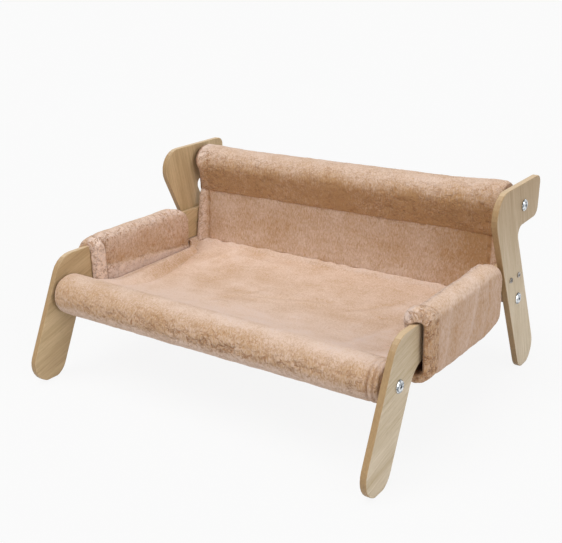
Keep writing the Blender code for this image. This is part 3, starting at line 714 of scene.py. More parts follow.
def foam_material():
    """Open-cell foam, pale and porous, with painted shade in its pores."""
    made, tree, shader = new_tree("open_foam")
    pores = add_node(tree, "TexVoronoi", [("Vector", place_in(tree)), ("Scale", 900.0)])
    cell = pores.outputs["Distance"]
    tint = noise_in(tree, 60)
    cream, pale, pore_shade = (0.8, 0.77, 0.68, 1), (0.86, 0.84, 0.77, 1), (0.52, 0.48, 0.39, 1)
    colour = blended(ranged(tint, 0.3, 0.7), cream, pale)
    # Painted shade in the pores
    colour = blended(ranged(cell, 0.0, 0.35, 0.5, 0.0), colour, pore_shade)
    feed(tree, shader, [("Base Color", colour), ("Roughness", 0.9),
                        ("Normal", bumped(cell, 0.0008, 0.8))])
    return made


# Places in the frame
def corners(node):
    """Lowest and highest corner of a node."""
    low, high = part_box(node)
    return np.array(low), np.array(high)


def middle(node):
    """Middle of a node, as (y, z)."""
    low, high = corners(node)
    return (low + high)[1:] / 2


# Bolsters
def pocket_section(radius, tail, tail_angle, count):
    """A round pocket's section that narrows to a flat-ended tail, as (y, z) from its centre."""
    half = TAIL_THICKNESS / 2
    reach = hypot(tail, half)
    tangent = atan2(half, tail) + acos(min(1, radius / reach))
    angles = np.linspace(tangent, 2 * pi - tangent, POCKET_ARC)
    arc = np.stack([np.cos(angles), np.sin(angles)], -1) * radius
    tip, side = tail + half * NOSE_REACH, half * NOSE_SHARE
    nose = [(tail, -half), (tip, -side), (tip, side), (tail, half)]
    outline = evenly(np.vstack([arc, nose]), count)
    turn = np.array([[cos(tail_angle), sin(tail_angle)],
                     [-sin(tail_angle), cos(tail_angle)]])
    return outline @ turn


def roll_profile(left, right, radius):
    """X places along a bolster's outside with its radius there, both ends turned in as lips."""
    lip = POCKET_WALL / 2
    steps = round((right - left - 2 * END_ROUND) / ALONG_STEP)
    straight = [(x, radius) for x in np.linspace(left + END_ROUND, right - END_ROUND, steps)]
    end = []
    for angle in np.linspace(0, pi / 2, END_STEPS)[1:]:
        drawn = END_DRAW * (1 - cos(angle))
        end.append((lip + (END_ROUND - lip) * (1 - sin(angle)), radius - drawn))
    for angle in np.linspace(0, pi / 2, LIP_STEPS)[1:]:
        end.append((lip * (1 - sin(angle)), radius - END_DRAW - lip * (1 - cos(angle))))
    left_end = [(left + inset, r) for inset, r in end[::-1]]
    return left_end + straight + [(right - inset, r) for inset, r in end]


# Each bolster: its bar; the pocket's radius, tail and the tail's angle; taper, lift, reach to the
# left and creases from the right end; flats under and on top; the pile's drift; and seed
BOLSTERS = {
    "front": ("front_crossbar", (0.0303, 0.0365, radians(16)),
              (0.0014, 0.0016, 0.0, (0.0095, 0.0176)), (0.105, 0.0), (3.0, 1, 1), 1),
    "top": ("back_top_crossbar", (0.0308, 0.0475, radians(-110)),
            (0.0, 0.0, 0.007, ()), (0.0, 0.1), (1.4, 1, 1), 2),
}


def add_bolster(side, plush):
    """The plush pocket round a crossbar's foam, ruffled, with drawn-in ends."""
    bar, tail_sizes, ends, flats, drift, seed = BOLSTERS[side]
    radius, tail, tail_angle = tail_sizes
    taper, lift, reach, rings = ends
    flat_under, flat_crown = flats
    curls = front_curls if side == "front" else top_curls
    node = f"{side}_bolster_cover"
    half = corners(node)[1][0]
    left = -half - reach
    centre = middle(bar)
    count = round((2 * pi * radius + tail) / ROUND_STEP)
    profile = roll_profile(left, half, radius)
    sections = [pocket_section(r - taper * x / half, tail, tail_angle, count)
                + (0, lift * (1 - x / half)) for x, r in profile]
    outer = swept([x for x, r in profile], sections, centre)
    line = np.array([0, *centre]) + outer * (1, 0, 0)
    offset = outer - line
    facing = np.arctan2(offset[..., 2], np.abs(offset[..., 1]))
    drawn = reach * past(facing, UNDER_DRAW)
    outer[..., 0] += drawn * smooth((LEFT_DRAW_LENGTH - half - outer[..., 0]) / LEFT_DRAW_LENGTH)
    flat_under = flat_under * (1 - FLAT_LEAN / 2 + FLAT_LEAN * outer[..., 0] / half)
    flat_crown = flat_crown * smooth((half - FLAT_START - np.abs(outer[..., 0])) / FLAT_LENGTH)
    outer[..., 2] -= flat_under * np.minimum(offset[..., 2], 0)
    outer[..., 2] -= flat_crown * np.maximum(offset[..., 2], 0)
    normals = grid_normals(outer, line)
    x = outer[..., 0] + wave(outer, RING_SWAY, seed + 9)
    creased = np.zeros(x.shape)
    for from_end in rings:
        creased = np.maximum(creased, bell(x - (half - from_end), RING_WIDTH))
    creased = creased * (RING_LEAST + (1 - RING_LEAST) * near(facing, RING_FRONT))
    outer = outer - normals * (RING_DEPTH * creased)[..., None]
    curly, nap_and_painted_light = curls(outer, facing)
    outer, looks = ruffle(outer, normals, curly, nap_and_painted_light, seed, drift)
    # Painted shade at both ends, where they meet the boards, and in the ring creases
    at_end = smooth((np.abs(outer[..., 0]) - (half - END_SHADE)) / END_SHADE_FADE)
    shades = [looks["painted_shade"], RING_TONE * creased, END_TONE * at_end]
    looks["painted_shade"] = np.maximum.reduce(shades)
    ring = pocket_section(radius, tail, tail_angle, count)
    ring = ring / np.linalg.norm(ring, axis=1, keepdims=True)
    xs = np.linspace(left + POCKET_WALL / 2, half - POCKET_WALL / 2, INNER_RINGS)
    drawn = END_DRAW * smooth(1 - np.minimum(xs - left, half - xs) / END_ROUND)
    inner = swept(xs, [ring * (radius - POCKET_WALL - d) for d in drawn], centre)
    piece = add_piece(f"{side}_bolster", node, tube(outer, inner), looks, plush)


def front_curls(points, facing):
    """How curly and how brown the front bolster is: strokes in front, curls in patches below."""
    x, degrees = points[..., 0], np.degrees(facing)
    patches = summed(plain=(0.5, 1), patch=(1, wave(points, (0.9, 0.05), 301)),
                     middle=(0.5, near(x, (0.01, 0.1))))
    end_x, end_z = TUFT_END
    from_end = np.hypot(x - end_x, (points[..., 2] - end_z) * TUFT_END_SQUASH)
    curly = summed(plain=(0.12, 1), strokes=(0.34, near(degrees, (30, 32))),
                   curls=(np.clip(patches, 0.22, 1), near(degrees, (1, 19))),
                   end=(0.6, bell(from_end, TUFT_END_WIDTH)), low=(0.26, past(degrees, (-10, -20))))
    on_left = past(x, FRONT_LEFT)
    # Browner in front: the pile's lie and painted shade; paler underneath: painted light
    nap_and_painted_light = summed(plain=(0.05, 1), left=(0.23, on_left),
                 front=(0.52 - 0.16 * on_left, past(degrees, (78, -46))),
                 under=(-0.52 - 0.08 * on_left, past(degrees, (2, -24))))
    return np.clip(curly, 0, 1), nap_and_painted_light


def top_curls(points, facing):
    """How curly and how brown the top bolster is: browner from the middle down, painted shade."""
    x = points[..., 0]
    degrees = np.degrees(facing) + wave(points, TOP_SWAY, 412, ROUND_STRETCH)
    curly = summed(plain=(0.22, 1), patch=(1, wave(points, (0.18, 0.06), 411)),
                   under=(0.34, past(degrees, (30, -40))), left=(0.2, past(x, (-0.2, -0.05))),
                   turning=(0.3, near(degrees, (38, 26))))
    mottle = wave(points, TOP_MOTTLE, 413, ROUND_STRETCH)
    nap_and_painted_light = summed(plain=(0.23, 1), brown=(0.72, past(degrees, (58, -78))),
                 mottle=(mottle, past(degrees, (50, -40))),
                 left_end=(-0.42, past(x, (-0.25, -0.024))))
    return np.clip(curly, 0, 1), nap_and_painted_light


def add_padding(side, foam):
    """A foam tube on its crossbar, with slightly uneven cut ends and skin."""
    node, bar = f"{side}_bolster_padding", BOLSTERS[side][0]
    low, high = corners(node)
    centre = middle(bar)
    half = high[0]
    radius = (high[2] - low[2]) / 2
    core = centre[1] - corners(bar)[0][2] + FOAM_CLEARANCE
    angles = np.linspace(0, 2 * pi, FOAM_COUNT, endpoint=False)
    ring = np.stack([np.zeros(FOAM_COUNT), np.cos(angles), np.sin(angles)], -1)
    cut = [core + (radius - core) * share for share in FOAM_CUT]
    profile = [(-half, r) for r in cut]
    profile += [(x, radius) for x in np.linspace(FOAM_ROUND - half, half - FOAM_ROUND, FOAM_RINGS)]
    profile += [(half, r) for r in cut[::-1]]
    outer = np.array([ring * r + (x, 0, 0) for x, r in profile])
    skin = noise(outer, FOAM_CELLS, 71) * FOAM_SKIN - FOAM_SKIN
    outer = outer * np.stack([np.ones_like(skin), 1 + skin / radius, 1 + skin / radius], -1)
    inner = np.array([ring * core + (x, 0, 0) for x in np.linspace(-half, half, CORE_RINGS)])
    shape = tube(outer + (0, *centre), inner + (0, *centre))
    piece = add_piece(f"{side}_foam", node, shape, {}, foam)


# Seat and back
def lip_share(distance):
    """How far a rounded sleeve end has drawn in, from 1 at its very end to 0."""
    left = np.clip(1 - np.asarray(distance) / LIP_REACH, 0, 1)
    return 1 - np.sqrt(1 - left ** 2)


def near_curve(x, y, curve):
    """Distance from each place to a curve through (x, y) points."""
    bends = np.array(curve)
    shares = np.linspace(0, len(bends) - 1, CURVE_STEPS)
    along = np.arange(len(bends))
    line = np.stack([np.interp(shares, along, bends[:, axis]) for axis in (0, 1)], -1)
    nearest = np.full(x.shape, np.inf)
    for px, py in line:
        nearest = np.minimum(nearest, np.hypot(x - px, y - py))
    return nearest


def seat_height(x, y, front, rear, half):
    """Top of the seat, how far across the soft band beside each arm it is, and its corner's tuck."""
    along = (y - front) / (rear - front)
    from_side = half - np.abs(x)
    straight = SEAT_FRONT_HEIGHT + (CREASE_HEIGHT - SEAT_FRONT_HEIGHT) * along
    centre = straight - SEAT_SAG * 4 * along * (1 - along)
    beside_arm = smooth((y - front) / FRONT_FADE) * smooth((rear - y) / REAR_FADE)
    edge = straight + (SEAT_EDGE_HEIGHT - straight) * beside_arm
    band_y, band_wide = np.array(BAND_EDGE).T
    across = from_side / np.interp(y, band_y, band_wide)
    rise = np.sin(pi * np.clip(across, 0, 1) ** BAND_SKEW)
    crest = edge + BAND_RISE * beside_arm * rise
    height = crest + (centre - crest) * past(across, BAND_TO_SEAT)
    height = height - BAND_VALLEY * beside_arm * near(across, BAND_FOOT)
    corner = past(y, CORNER_FRONT) * past(y, CORNER_REAR) * past(from_side, CORNER_SIDE)
    height = height + CORNER_LIFT * corner
    lifted = past(y, EDGE_FRONT) * past(y, EDGE_REAR) * past(from_side, EDGE_SIDE)
    height = height + np.maximum(EDGE_TOP - height, 0) * lifted
    beyond = past(from_side, UNDER_ARM_SIDE) * past(y, UNDER_ARM_FRONT)
    height = height - np.maximum(height - UNDER_ARM_CAP, 0) * beyond
    return height, across, lifted * near(y, EDGE_TUCK)


# Folds of the seat: the curve through (x, y), then width, height and tone
# A fold's tone is painted shade in its valley and painted light on its ridge
SEAT_FOLDS = [
    (((-0.256, -0.092), (-0.2573, -0.047), (-0.2585, 0.0)), 0.0028, -0.0016, 0.55),
    (((-0.225, 0.138), (-0.14, 0.118), (-0.06, 0.112)), 0.009, 0.0016, -0.08),
    (((-0.212, 0.077), (-0.203, 0.11), (-0.184, 0.135)), 0.007, 0.002, -0.12),
    (((-0.273, 0.143), (-0.24, 0.116)), 0.008, 0.0024, -0.2),
    (((-0.156, 0.08), (-0.15, 0.07)), 0.017, -0.0012, 0.2),
    (((-0.153, 0.018), (-0.145, 0.024)), 0.015, -0.0012, 0.2),
    (((-0.096, -0.002), (-0.085, 0.004)), 0.013, -0.001, 0.16),
    (((0.04, 0.046), (0.056, 0.06)), 0.016, -0.001, 0.14),
    (((-0.087, -0.073), (-0.071, -0.021), (-0.057, 0.024)), 0.006, -0.0011, 0.1),
    (((-0.038, -0.002), (0.012, 0.022), (0.066, 0.04)), 0.006, -0.0014, 0.16),
    (((-0.045, -0.014), (0.012, 0.008), (0.066, 0.026)), 0.006, 0.0012, -0.08),
    (((0.104, 0.027), (0.13, 0.054), (0.155, 0.085)), 0.006, -0.0013, 0.14),
    (((0.11, 0.012), (0.14, 0.042), (0.168, 0.078)), 0.006, 0.001, -0.08),
    (((0.187, -0.101), (0.188, -0.044), (0.196, 0.009)), 0.006, 0.0019, -0.14),
    (((0.17, -0.1), (0.17, -0.04), (0.178, 0.01)), 0.006, -0.0012, 0.12),
    (((0.147, -0.069), (0.145, 0.006), (0.167, 0.062)), 0.006, 0.0016, -0.12),
    (((0.153, -0.096), (0.156, -0.09)), 0.01, -0.0008, 0.14),
]


def add_seat(plush):
    """The seat panel: a sagging plush sheet with soft folds and faint wrinkles."""
    low, high = corners("seat_panel")
    half, front, rear = high[0], low[1], high[1]
    back_front = corners("back_panel")[0][1]
    sleeve_end = corners("left_arm_sleeve")[1][1]
    xs = np.linspace(-half, half, round(2 * half / SHEET_STEP))
    ys = np.linspace(front, rear, round((rear - front) / SHEET_STEP))
    clear = np.abs(ys - back_front - WELT_MIDDLE) > WELT_CLEAR
    ys = np.sort(np.concatenate([ys[clear], back_front - WELT_GAP - np.array(WELT_ROWS)]))
    x, y = np.meshgrid(xs, ys, indexing="ij")
    wide = half + CORNER_REACH * lip_share(sleeve_end - y)
    wide = wide + UNDER_ARM_REACH * past(y - sleeve_end, UNDER_ARM_START)
    x = x * wide / half
    z, across, tucked = seat_height(x, y, front, rear, wide)
    marked = np.zeros(x.shape)
    for curve, width, height, tone in SEAT_FOLDS:
        fold = bell(near_curve(x, y, curve), width)
        z = z + height * fold
        marked = marked + tone * fold
    welt = past(y - back_front, WELT_START) * smooth((back_front - y) / WELT_GAP)
    sway = wave(np.stack([x, y, z], -1) * (1, 0, 0), WELT_SWAY, 27)
    z = z + CREASE_WELT * welt * (1 + sway)
    from_rim = np.minimum.reduce([wide - np.abs(x), y - front, rear - y])
    rounding = SEAT_ROUNDING * (1 - smooth(from_rim / ROUNDING_REACH))
    top = np.stack([x, y, z - rounding], -1)
    under = np.stack([x, y, z - SEAT_THICKNESS + rounding], -1)
    share = (y - front) / (rear - front)
    faded = smooth(share / SEAT_FADE) * smooth((1 - share) / SEAT_FADE)
    # Painted light: paler on the band beside the arm, on fold ridges and on the welt
    # Painted shade: browner to the rear, on the band's fall, in fold valleys and in the tuck
    nap_and_painted_light = summed(plain=(-0.12, 1), rear=(0.37, past(share, (0, 0.5))), folds=(0.9, marked),
                 band=(0.22, faded * past(across, (0.4, 0.5)) * past(across, (1.0, -0.045))),
                 edge=(-0.16, faded * past(across, (0.6, -0.4))), tucked=(0.6, tucked),
                 welt=(-0.12, welt))
    top, under, looks = ruffle_sheet(top, under, np.array([0, 0, 1.0]), SEAT_CURL + 0 * x, nap_and_painted_light,
                                     21)
    # Painted shade in the tuck at the seat's corner
    looks["painted_shade"] = np.maximum(looks["painted_shade"], TUCKED_TONE * tucked)
    under_arm = np.abs(x) > half + UNDER_ARM_REACH
    top[..., 2] = np.where(under_arm, np.minimum(top[..., 2], UNDER_ARM_CAP), top[..., 2])
    piece = add_piece("seat_cover", "seat_panel", slab(top, under), looks, plush)


def add_back(plush):
    """The back panel, with a rounded hem sewn down each side."""
    low, high = corners("back_panel")
    half, bottom, top_z = high[0], low[2], high[2]
    xs = np.linspace(-half - BACK_LEFT_REACH, half, round(2 * half / SHEET_STEP))
    zs = np.linspace(bottom, top_z, round((top_z - bottom) / SHEET_STEP))
    x, z = np.meshgrid(xs, zs, indexing="ij")
    share = (z - bottom) / (top_z - bottom)
    lean = high[1] - BACK_THICKNESS - low[1]
    belly = BACK_BELLY * np.sin(pi * share) * (1 - (x / half) ** 2)
    y = low[1] + lean * share + belly
    flat = np.stack([x, y, z], -1)
    from_side = np.minimum(x - xs[0], half - x)
    seam = np.abs(from_side - BACK_HEM - wave(flat, HEM_SWAY, 89))
    pucker = summed(plain=(1, 1), gathers=(0.35, np.sin(z / GATHER)),
                    loose=(1, wave(flat, (0.5, 0.006), 88)))
    across = np.clip(from_side / BACK_HEM, 0, 1)
    bulge = HEM_BULGE + (HEM_LOW_BULGE - HEM_BULGE) * (1 - share)
    rolled = bulge * np.sqrt(np.clip(1 - (2 * across - 1) ** 2, 0, 1))
    rolled = rolled * smooth((top_z - z) / HEM_TOP)
    draw = bell(seam, HEM_DRAW_WIDTH) * HEM_DRAW * pucker
    forward = HEM_FORWARD + (HEM_LOW_FORWARD - HEM_FORWARD) * (1 - share)
    y = y - forward * past(from_side, HEM_SIDE_BROAD) * smooth((top_z - z) / HEM_TOP_BROAD)
    rounding = BACK_ROUNDING * (1 - smooth((z - bottom) / BACK_ROUND_REACH))
    at_top = past(share, BACK_TOP)
    front = np.stack([x, y + draw - rolled + rounding, z + BACK_TOP_RISE * at_top], -1)
    behind = np.stack([x, y + BACK_THICKNESS - rounding, z], -1)
    in_hem = past(from_side, HEM_SIDE)
    curly = summed(plain=(0.24, 1), hem=(0.4, in_hem), top=(0.2, at_top))
    # Painted shade: a patch by the right post, browner towards the right, and along the hem's seam
    shade = np.hypot(*((value - at) / reach for value, at, reach
                       in zip((x, z), BACK_SHADE, BACK_SHADE_REACH)))
    drift = wave(np.stack([x, y, z], -1), BACK_DRIFT, 90, (1, 1, 2))
    nap_and_painted_light = summed(plain=(0.39, 1), height=(0.02, share), hem=(-0.38, in_hem),
                 shade=(0.5, bell(shade, 1)), seam=(0.25, bell(seam, HEM_SHADE_WIDTH)),
                 drift=(1, drift), right=(0.12, past(x, (0.1, 0.12))))
    out = np.array([0, -1.0, 0])
    front, behind, looks = ruffle_sheet(front, behind, out, np.clip(curly, 0, 1), nap_and_painted_light, 31)
    # Painted shade in the hem's seam
    sewn = HEM_LINE_TONE * bell(seam, HEM_LINE_WIDTH) * pucker
    looks["painted_shade"] = np.maximum(looks["painted_shade"], sewn)
    piece = add_piece("back_cover", "back_panel", slab(front, behind), looks, plush)


def add_wrap(plush):
    """The tube of the cover round the lower rear crossbar."""
    half = corners("rear_bar_wrap")[1][0]
    centre = middle("seat_rear_crossbar")
    section = pocket_section(WRAP_RADIUS, WRAP_TAIL, pi, WRAP_COUNT)
    xs = np.linspace(-half, half, round(2 * half / WRAP_STEP))
    outer = swept(xs, [section] * len(xs), centre)
    normals = grid_normals(outer, np.array([0, *centre]) + outer * (1, 0, 0))
    lip = WRAP_LIP * (1 - smooth((half - np.abs(outer[..., 0])) / WRAP_LIP_REACH))
    outer = outer - normals * lip[..., None]
    outer, looks = ruffle(outer, normals, WRAP_CURL + 0 * lip, WRAP_NAP + 0 * lip, 41)
    ring = section / np.linalg.norm(section, axis=1, keepdims=True) * BAR_CLEARANCE
    inner = swept(np.linspace(-half, half, CORE_RINGS), [ring] * CORE_RINGS, centre)
    piece = add_piece("rear_bar_tube", "rear_bar_wrap", tube(outer, inner), looks, plush)


# Arm sleeves
def loop_section(inner_x, outer_x, low, high):
    """A flat loop with half-round top and bottom, as (x, z)."""
    radius = (outer_x - inner_x) / 2
    angles = np.linspace(0, pi, SLEEVE_ARC)
    arc = np.stack([-np.cos(angles), np.sin(angles)], -1) * radius
    middle_x = inner_x + radius
    over = arc + (middle_x, high - radius)
    under = -arc + (middle_x, low + radius)
    return evenly(np.vstack([over, under]), SLEEVE_COUNT)


def post_front(z):
    """Y of a rear post's front edge at height z."""
    foot_y = cad_high[1] - POST_WIDTH / 2
    foot_z = sqrt((POST_WIDTH / 2) ** 2 - (FOOT_FLAT / 2) ** 2)
    return foot_y - (z - foot_z) * tan(POST_LEAN) - POST_WIDTH / 2 / cos(POST_LEAN)


def sleeve_place(x, z, share, walls, ends, reaches):
    """Y at a share of the sleeve's length there, and how far in from its outer wall it is."""
    inner_x, outer_x = walls
    front, rear = ends
    low_reach, high_reach = reaches
    inward = (outer_x - x) / (outer_x - inner_x)
    # The inner wall's mouth reaches further forward than the outer one's, or less far
    reach = low_reach + (high_reach - low_reach) * past(z, REACH_TURN)
    start = front - reach * smooth(inward * REACH_SPREAD)
    end = min(rear, post_front(z) - SLEEVE_POST_GAP)
    return start + (end - start) * share, inward


def sleeve_rings(walls, ends, reaches, drops):
    """The sleeve's outside, ring by ring, with the distance of each ring from the front."""
    inner_x, outer_x = walls
    front_drop, lowered, slack = drops
    length = ends[1] - ends[0]
    turns = np.linspace(0, pi / 2, SLEEVE_LIP_STEPS)
    distances = list(LIP_REACH * (1 - np.cos(turns)))
    steps = round((length - 2 * LIP_REACH) / SLEEVE_STEP)
    straight = list(np.linspace(LIP_REACH, length - LIP_REACH, steps))[1:-1]
    places = distances + straight + [length - d for d in distances[::-1]]
    rings = []
    for place in places:
        drawn = lip_share(min(place, length - place))
        share = place / length
        to_end = length - place
        bottom = SLEEVE_LOW - SLEEVE_DROOP * sin(pi / 2 * share)
        bottom = bottom - slack * past(share, SLACK_FRONT) * past(share, SLACK_REAR)
        top = SLEEVE_HIGH - lowered - SLEEVE_REAR_DRAW * smooth(1 - to_end / SLEEVE_DRAW_LENGTH) ** 2
        top = top - front_drop * smooth(1 - place / FRONT_DROP_LENGTH)
        lifted = SLEEVE_REAR_DRAW / 2 * smooth(1 - to_end / (SLEEVE_DRAW_LENGTH / 3))
        outer_lip = LIP_SIDE / 2 if share < 0.5 else LIP_SIDE
        ring = []
        for x, z in loop_section(inner_x + LIP_SIDE * drawn, outer_x - outer_lip * drawn,
                                 bottom + LIP_LOW * drawn + lifted, top - LIP_TOP * drawn):
            y, inward = sleeve_place(x, z, share, walls, ends, reaches)
            swell = SLEEVE_SWELL * sin(pi * (z - bottom) / (SLEEVE_HIGH - bottom))
            swell = swell * sin(pi * share) * (1 - smooth(inward * 2))
            ring.append((x + swell, y, z))
        rings.append(ring)
    return np.array(rings), np.array(places)


def sleeve_lining(walls, ends, reaches):
    """The sleeve's inside, ring by ring, a little wider at its mouth."""
    inner_x, outer_x = walls
    rings = []
    for share in np.linspace(*LINING_ENDS, LINING_RINGS):
        from_mouth = share * (ends[1] - ends[0])
        wall = SLEEVE_OUTER_WALL - MOUTH_GAP * smooth(1 - from_mouth / MOUTH_DEPTH)
        hole = loop_section(inner_x + SLEEVE_INNER_WALL, outer_x - wall,
                            SLEEVE_HOLE_LOW, SLEEVE_HOLE_HIGH)
        rings.append([(x, sleeve_place(x, z, share, walls, ends, reaches)[0], z)
                      for x, z in hole])
    return np.array(rings)


# Each sleeve: sign of X; reach of the inner wall, low and high; drop of its front, of its whole
# top and slack below; its hem's width, rise, fade and paleness; seed; and folds through (y, z)
# A fold's tone is painted shade in its valley and painted light on its ridge
SLEEVES = {
    "left": (-1, (-0.006, -0.0025), (0.0045, 0.003, 0.0), (0.0234, 0.0, 0.75, 1.2), 51,
             [(((0.02, 0.15), (0.0, 0.17)), 0.012, -0.0006, 0.16)]),
    "right": (1, (0.0075, 0.0095), (0.0, 0.0, 0.0058), (0.0286, 0.007, 0.0, 0.7), 61,
              [(((-0.072, 0.122), (-0.064, 0.15), (-0.058, 0.186)), 0.0046, 0.0007, -0.26),
               (((-0.044, 0.118), (-0.04, 0.15), (-0.034, 0.172)), 0.012, -0.0006, 0.14),
               (((-0.01, 0.106), (0.002, 0.14), (0.018, 0.18)), 0.0044, 0.0007, -0.24),
               (((0.002, 0.132), (0.014, 0.158), (0.026, 0.186)), 0.0028, 0.0005, -0.26),
               (((0.022, 0.108), (0.032, 0.15), (0.04, 0.176)), 0.009, -0.0005, 0.12),
               (((0.052, 0.11), (0.064, 0.15), (0.06, 0.182)), 0.003, -0.0012, 0.16)]),
}


def add_sleeve(side, plush):
    """A plush loop round an arm, hemmed at both ends."""
    sign, reaches, drops, hem, seed, folds = SLEEVES[side]
    hem_width, hem_rise, hem_fade, hem_pale = hem
    node = f"{side}_arm_sleeve"
    low, high = corners(node)
    walls = sorted(abs(x) for x in (low[0], high[0]))
    ends = (low[1], high[1])
    outer, places = sleeve_rings(walls, ends, reaches, drops)
    middle_x = sum(walls) / 2
    line = outer * (0, 1, 0) + (middle_x, 0, (SLEEVE_LOW + SLEEVE_HIGH) / 2)
    normals = grid_normals(outer, line)
    x, y, z = (outer[..., axis] for axis in range(3))
    length = ends[1] - ends[0]
    distance = places[:, None] + 0 * x

    up_share = (z - SLEEVE_LOW) / (SLEEVE_HIGH - SLEEVE_LOW)
    crown = past(up_share, CROWN)
    inner_face = smooth((middle_x - x) / INNER_FACE)
    wander = wave(outer, HEM_WANDER, seed + 8) - hem_rise * past(up_share, HEM_RISE)
    hem_at = hem_width + wander
    in_hem = smooth((hem_at - distance) / HEM_EDGE)
    rear_hem = smooth((SLEEVE_REAR_HEM - length + distance) / REAR_HEM_EDGE)
    seam = bell(distance - hem_at, SEAM_WIDTH) * (1 - hem_fade * crown)
    rear_seam = bell(length - distance - SLEEVE_REAR_HEM, REAR_SEAM_WIDTH)
    pucker = 1 + wave(outer, PUCKER, seed + 3)
    inside = inner_face * (1 - in_hem)
    above = z - RECESS_HIGH - (RECESS_LOW - RECESS_HIGH) * distance / length
    below = inside * past(above, BELOW_RECESS)
    recess = past(above, RECESS_EDGE) * bell(np.maximum(above, 0), RECESS_FADE) * inside
    recess = recess * (RECESS_LEVEL + wave(outer, RECESS_WAVE, seed + 12))
    leaning = (y + RIPPLE_LEAN * z) / RIPPLE + wave(outer, RIPPLE_SWAY, seed + 14)
    ripple = inner_face * near(y, RIPPLE_MIDDLE) * past(z, RIPPLE_LOW)
    ripple = ripple * np.sin(2 * pi * leaning)

    puff = HEM_PUFF * np.sin(pi * np.clip(distance / hem_at, 0, 1))
    shift = (HEM_STEP * in_hem + puff) * (1 - hem_fade * crown)
    shift = shift - (SEAM_DEPTH * seam + REAR_SEAM_DEPTH * rear_seam) * pucker
    shift = shift + RIPPLE_DEPTH * ripple - RECESS_DEPTH * recess
    shift = shift + wave(outer, LIP_WAVE, seed + 17) * smooth(1 - distance / LIP_WAVE_REACH)
    marked = np.zeros(x.shape)
    for curve, width, height, tone in folds:
        fold = bell(near_curve(y, z, curve), width) * (inner_face if sign < 0 else 1 - inner_face)
        shift = shift + height * fold
        marked = marked + tone * fold
    outer = outer + normals * shift[..., None]

    after_hem = near(distance - hem_at, AFTER_HEM) * inner_face
    curly = summed(plain=(0.16, 1), crown=(0.26, crown * inner_face), rear_hem=(0.2, rear_hem),
                   after_hem=(0.35, after_hem), inner_face=(0.28, inner_face),
                   hem=(0.8 - 0.6 * inner_face, in_hem * (1 - 0.35 * crown)))
    # Painted light: paler below the recess, on the crown and hem's crown, on ripple and fold ridges
    # Painted shade: browner in the recess and in fold valleys
    nap_and_painted_light = summed(plain=(0.36, 1), inner_face=(-0.15, inner_face), recess=(0.42, recess),
                 hem=(0.34 - hem_pale * inner_face, in_hem), folds=(1, marked),
                 ripple=(-0.18, ripple), below=(-0.5, below), crown=(-0.14 - 0.14 * inside, crown),
                 hem_crown=(-0.26, in_hem * crown * (1 - inner_face)))
    outer, looks = ruffle(outer, normals, np.clip(curly, 0, 1), nap_and_painted_light, seed, (1, 1.2, 1.2))
    lit = in_hem * (HEM_LIGHT + (1 - HEM_LIGHT) * inner_face)
    # Painted shade on the walls; less on the inner face and hem, none on the crown or below
    dusky = (DUSK - DUSK_DROP * inner_face) * (1 - lit)
    tucked = near(above, TUCK) * inside * smooth(0.5 + wave(outer, TUCK_WAVE, seed + 15))
    # Painted shade in the seams and in the tuck at the recess line
    sewn = summed(seam=(0.78, seam * pucker), rear_seam=(0.2, rear_seam * pucker),
                  tucked=(0.5, tucked))
    curls = looks["painted_shade"] * (1 + HEM_CURLS * in_hem * (1 - inner_face))
    looks["painted_shade"] = np.maximum.reduce([curls, sewn, dusky * (1 - below) * (1 - crown)])
    inner = sleeve_lining(walls, ends, reaches)
    # The inside: dark with painted shade
    for title, level in LINING_PAINTED_SHADE.items():
        looks[title] = np.concatenate([looks[title].ravel(), np.full(inner[..., 0].size, level)])
    points, faces, uv = tube(outer, inner)
    shape = (points * (sign, 1, 1), faces, uv)
    piece = add_piece(f"{side}_sleeve", node, shape, looks, plush)


# Stage
def add_sun(name, direction, strength, spread):
    """A soft distant light from a direction."""
    data = bpy.data.lights.new(name, "SUN")
    data.energy = strength
    data.angle = spread
    sun = new_object(name, data)
    sun.rotation_euler = Vector(direction).to_track_quat("Z", "Y").to_euler()


def shown_directly(tree):
    """1 on the camera's own rays and on what metal or glass shows, else 0."""
    path = add_node(tree, "LightPath").outputs
    return combined("MAXIMUM", path["Is Camera Ray"], path["Is Glossy Ray"],
                    path["Is Transmission Ray"])


def add_floor():
    """A wide pale floor that shows the background's level and keeps the object's shadow."""
    made, tree, shader = new_tree("pale_floor")
    seen = shown_directly(tree)
    level = ranged(seen, 0.0, 1.0, FLOOR_COLOUR, FLOOR_SHADOW_TONE)
    feed(tree, shader, [("Base Color", level), ("Roughness", 0.9), ("Specular IOR Level", 0.0),
                        ("Emission Color", (1, 1, 1, 1)),
                        ("Emission Strength", combined("MULTIPLY", seen, FLOOR_GLOW))])
    mesh = bpy.data.meshes.new("floor")
    half = FLOOR_SIZE / 2
    rim = [(-half, -half, 0), (half, -half, 0), (half, half, 0), (-half, half, 0)]
    mesh.from_pydata(rim, [], [(0, 1, 2, 3)])
    mesh.materials.append(made)
    floor = new_object("floor", mesh)


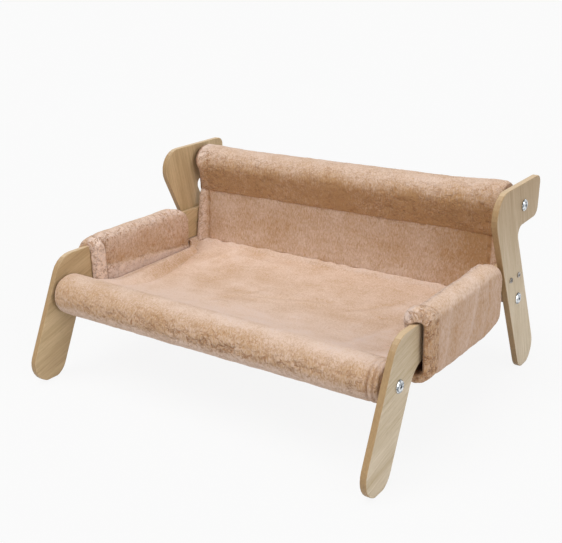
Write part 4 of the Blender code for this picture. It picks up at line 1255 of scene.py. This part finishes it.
def add_world():
    """A plain sky that lights softly and shows the background's level."""
    world = bpy.data.worlds.new("plain_sky")
    world.use_nodes = True
    tree = world.node_tree
    level = ranged(shown_directly(tree), 0.0, 1.0, WORLD_LEVEL, BACKGROUND_LEVEL)
    feed(tree, tree.nodes["Background"], [("Color", (1, 1, 1, 1)), ("Strength", level)])
    scene.world = world


def add_camera():
    """The camera at the photograph's viewpoint."""
    data = bpy.data.cameras.new("camera")
    data.lens = CAMERA_LENS
    data.sensor_width = SENSOR_WIDTH
    camera = new_object("camera", data)
    camera.matrix_world = (
        Matrix.Translation(CAMERA_PLACE)
        @ Matrix.Rotation(CAMERA_AZIMUTH, 4, "Z")
        @ Matrix.Rotation(pi / 2 - CAMERA_ELEVATION, 4, "X")
        @ Matrix.Rotation(-CAMERA_ROLL, 4, "Z"))
    scene.camera = camera


def dress(endings, surface):
    """Gives the CAD nodes whose names end so a better material."""
    for name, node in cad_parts.items():
        if name.endswith(endings):
            for place in node.material_slots:
                place.material = surface


def main():
    scene.view_settings.view_transform = "Standard"
    add_camera()
    add_world()
    add_floor()
    add_sun("overhead_light", KEY_DIRECTION, KEY_LIGHT, KEY_SPREAD)
    add_sun("side_light", SIDE_DIRECTION, SIDE_LIGHT, SIDE_SPREAD)

    boards = {"left_front_leg_arm": 18, "right_front_leg_arm": 12,
              "left_rear_post": 100, "right_rear_post": 106}
    for name, angle in boards.items():
        dress(name, wood_material(f"{name}_veneer", radians(angle)))
    dress("_crossbar", bar_material())
    dress(("_bolt", "_insert"), zinc_material("zinc_plate", *ZINC_PAINTED_REFLECTIONS))
    # Screws: darker plating as painted shade in their recesses
    dress("_screw", zinc_material("shaded_zinc", *SCREW_SHADE_AND_REFLECTIONS))
    dress(("_arm_front_insert", "_arm_rear_insert"), cap_material())

    plush = plush_material()
    foam = foam_material()
    for side in BOLSTERS:
        add_bolster(side, plush)
    for side in BOLSTERS:
        add_padding(side, foam)
    add_seat(plush)
    add_back(plush)
    add_wrap(plush)
    for side in SLEEVES:
        add_sleeve(side, plush)


main()
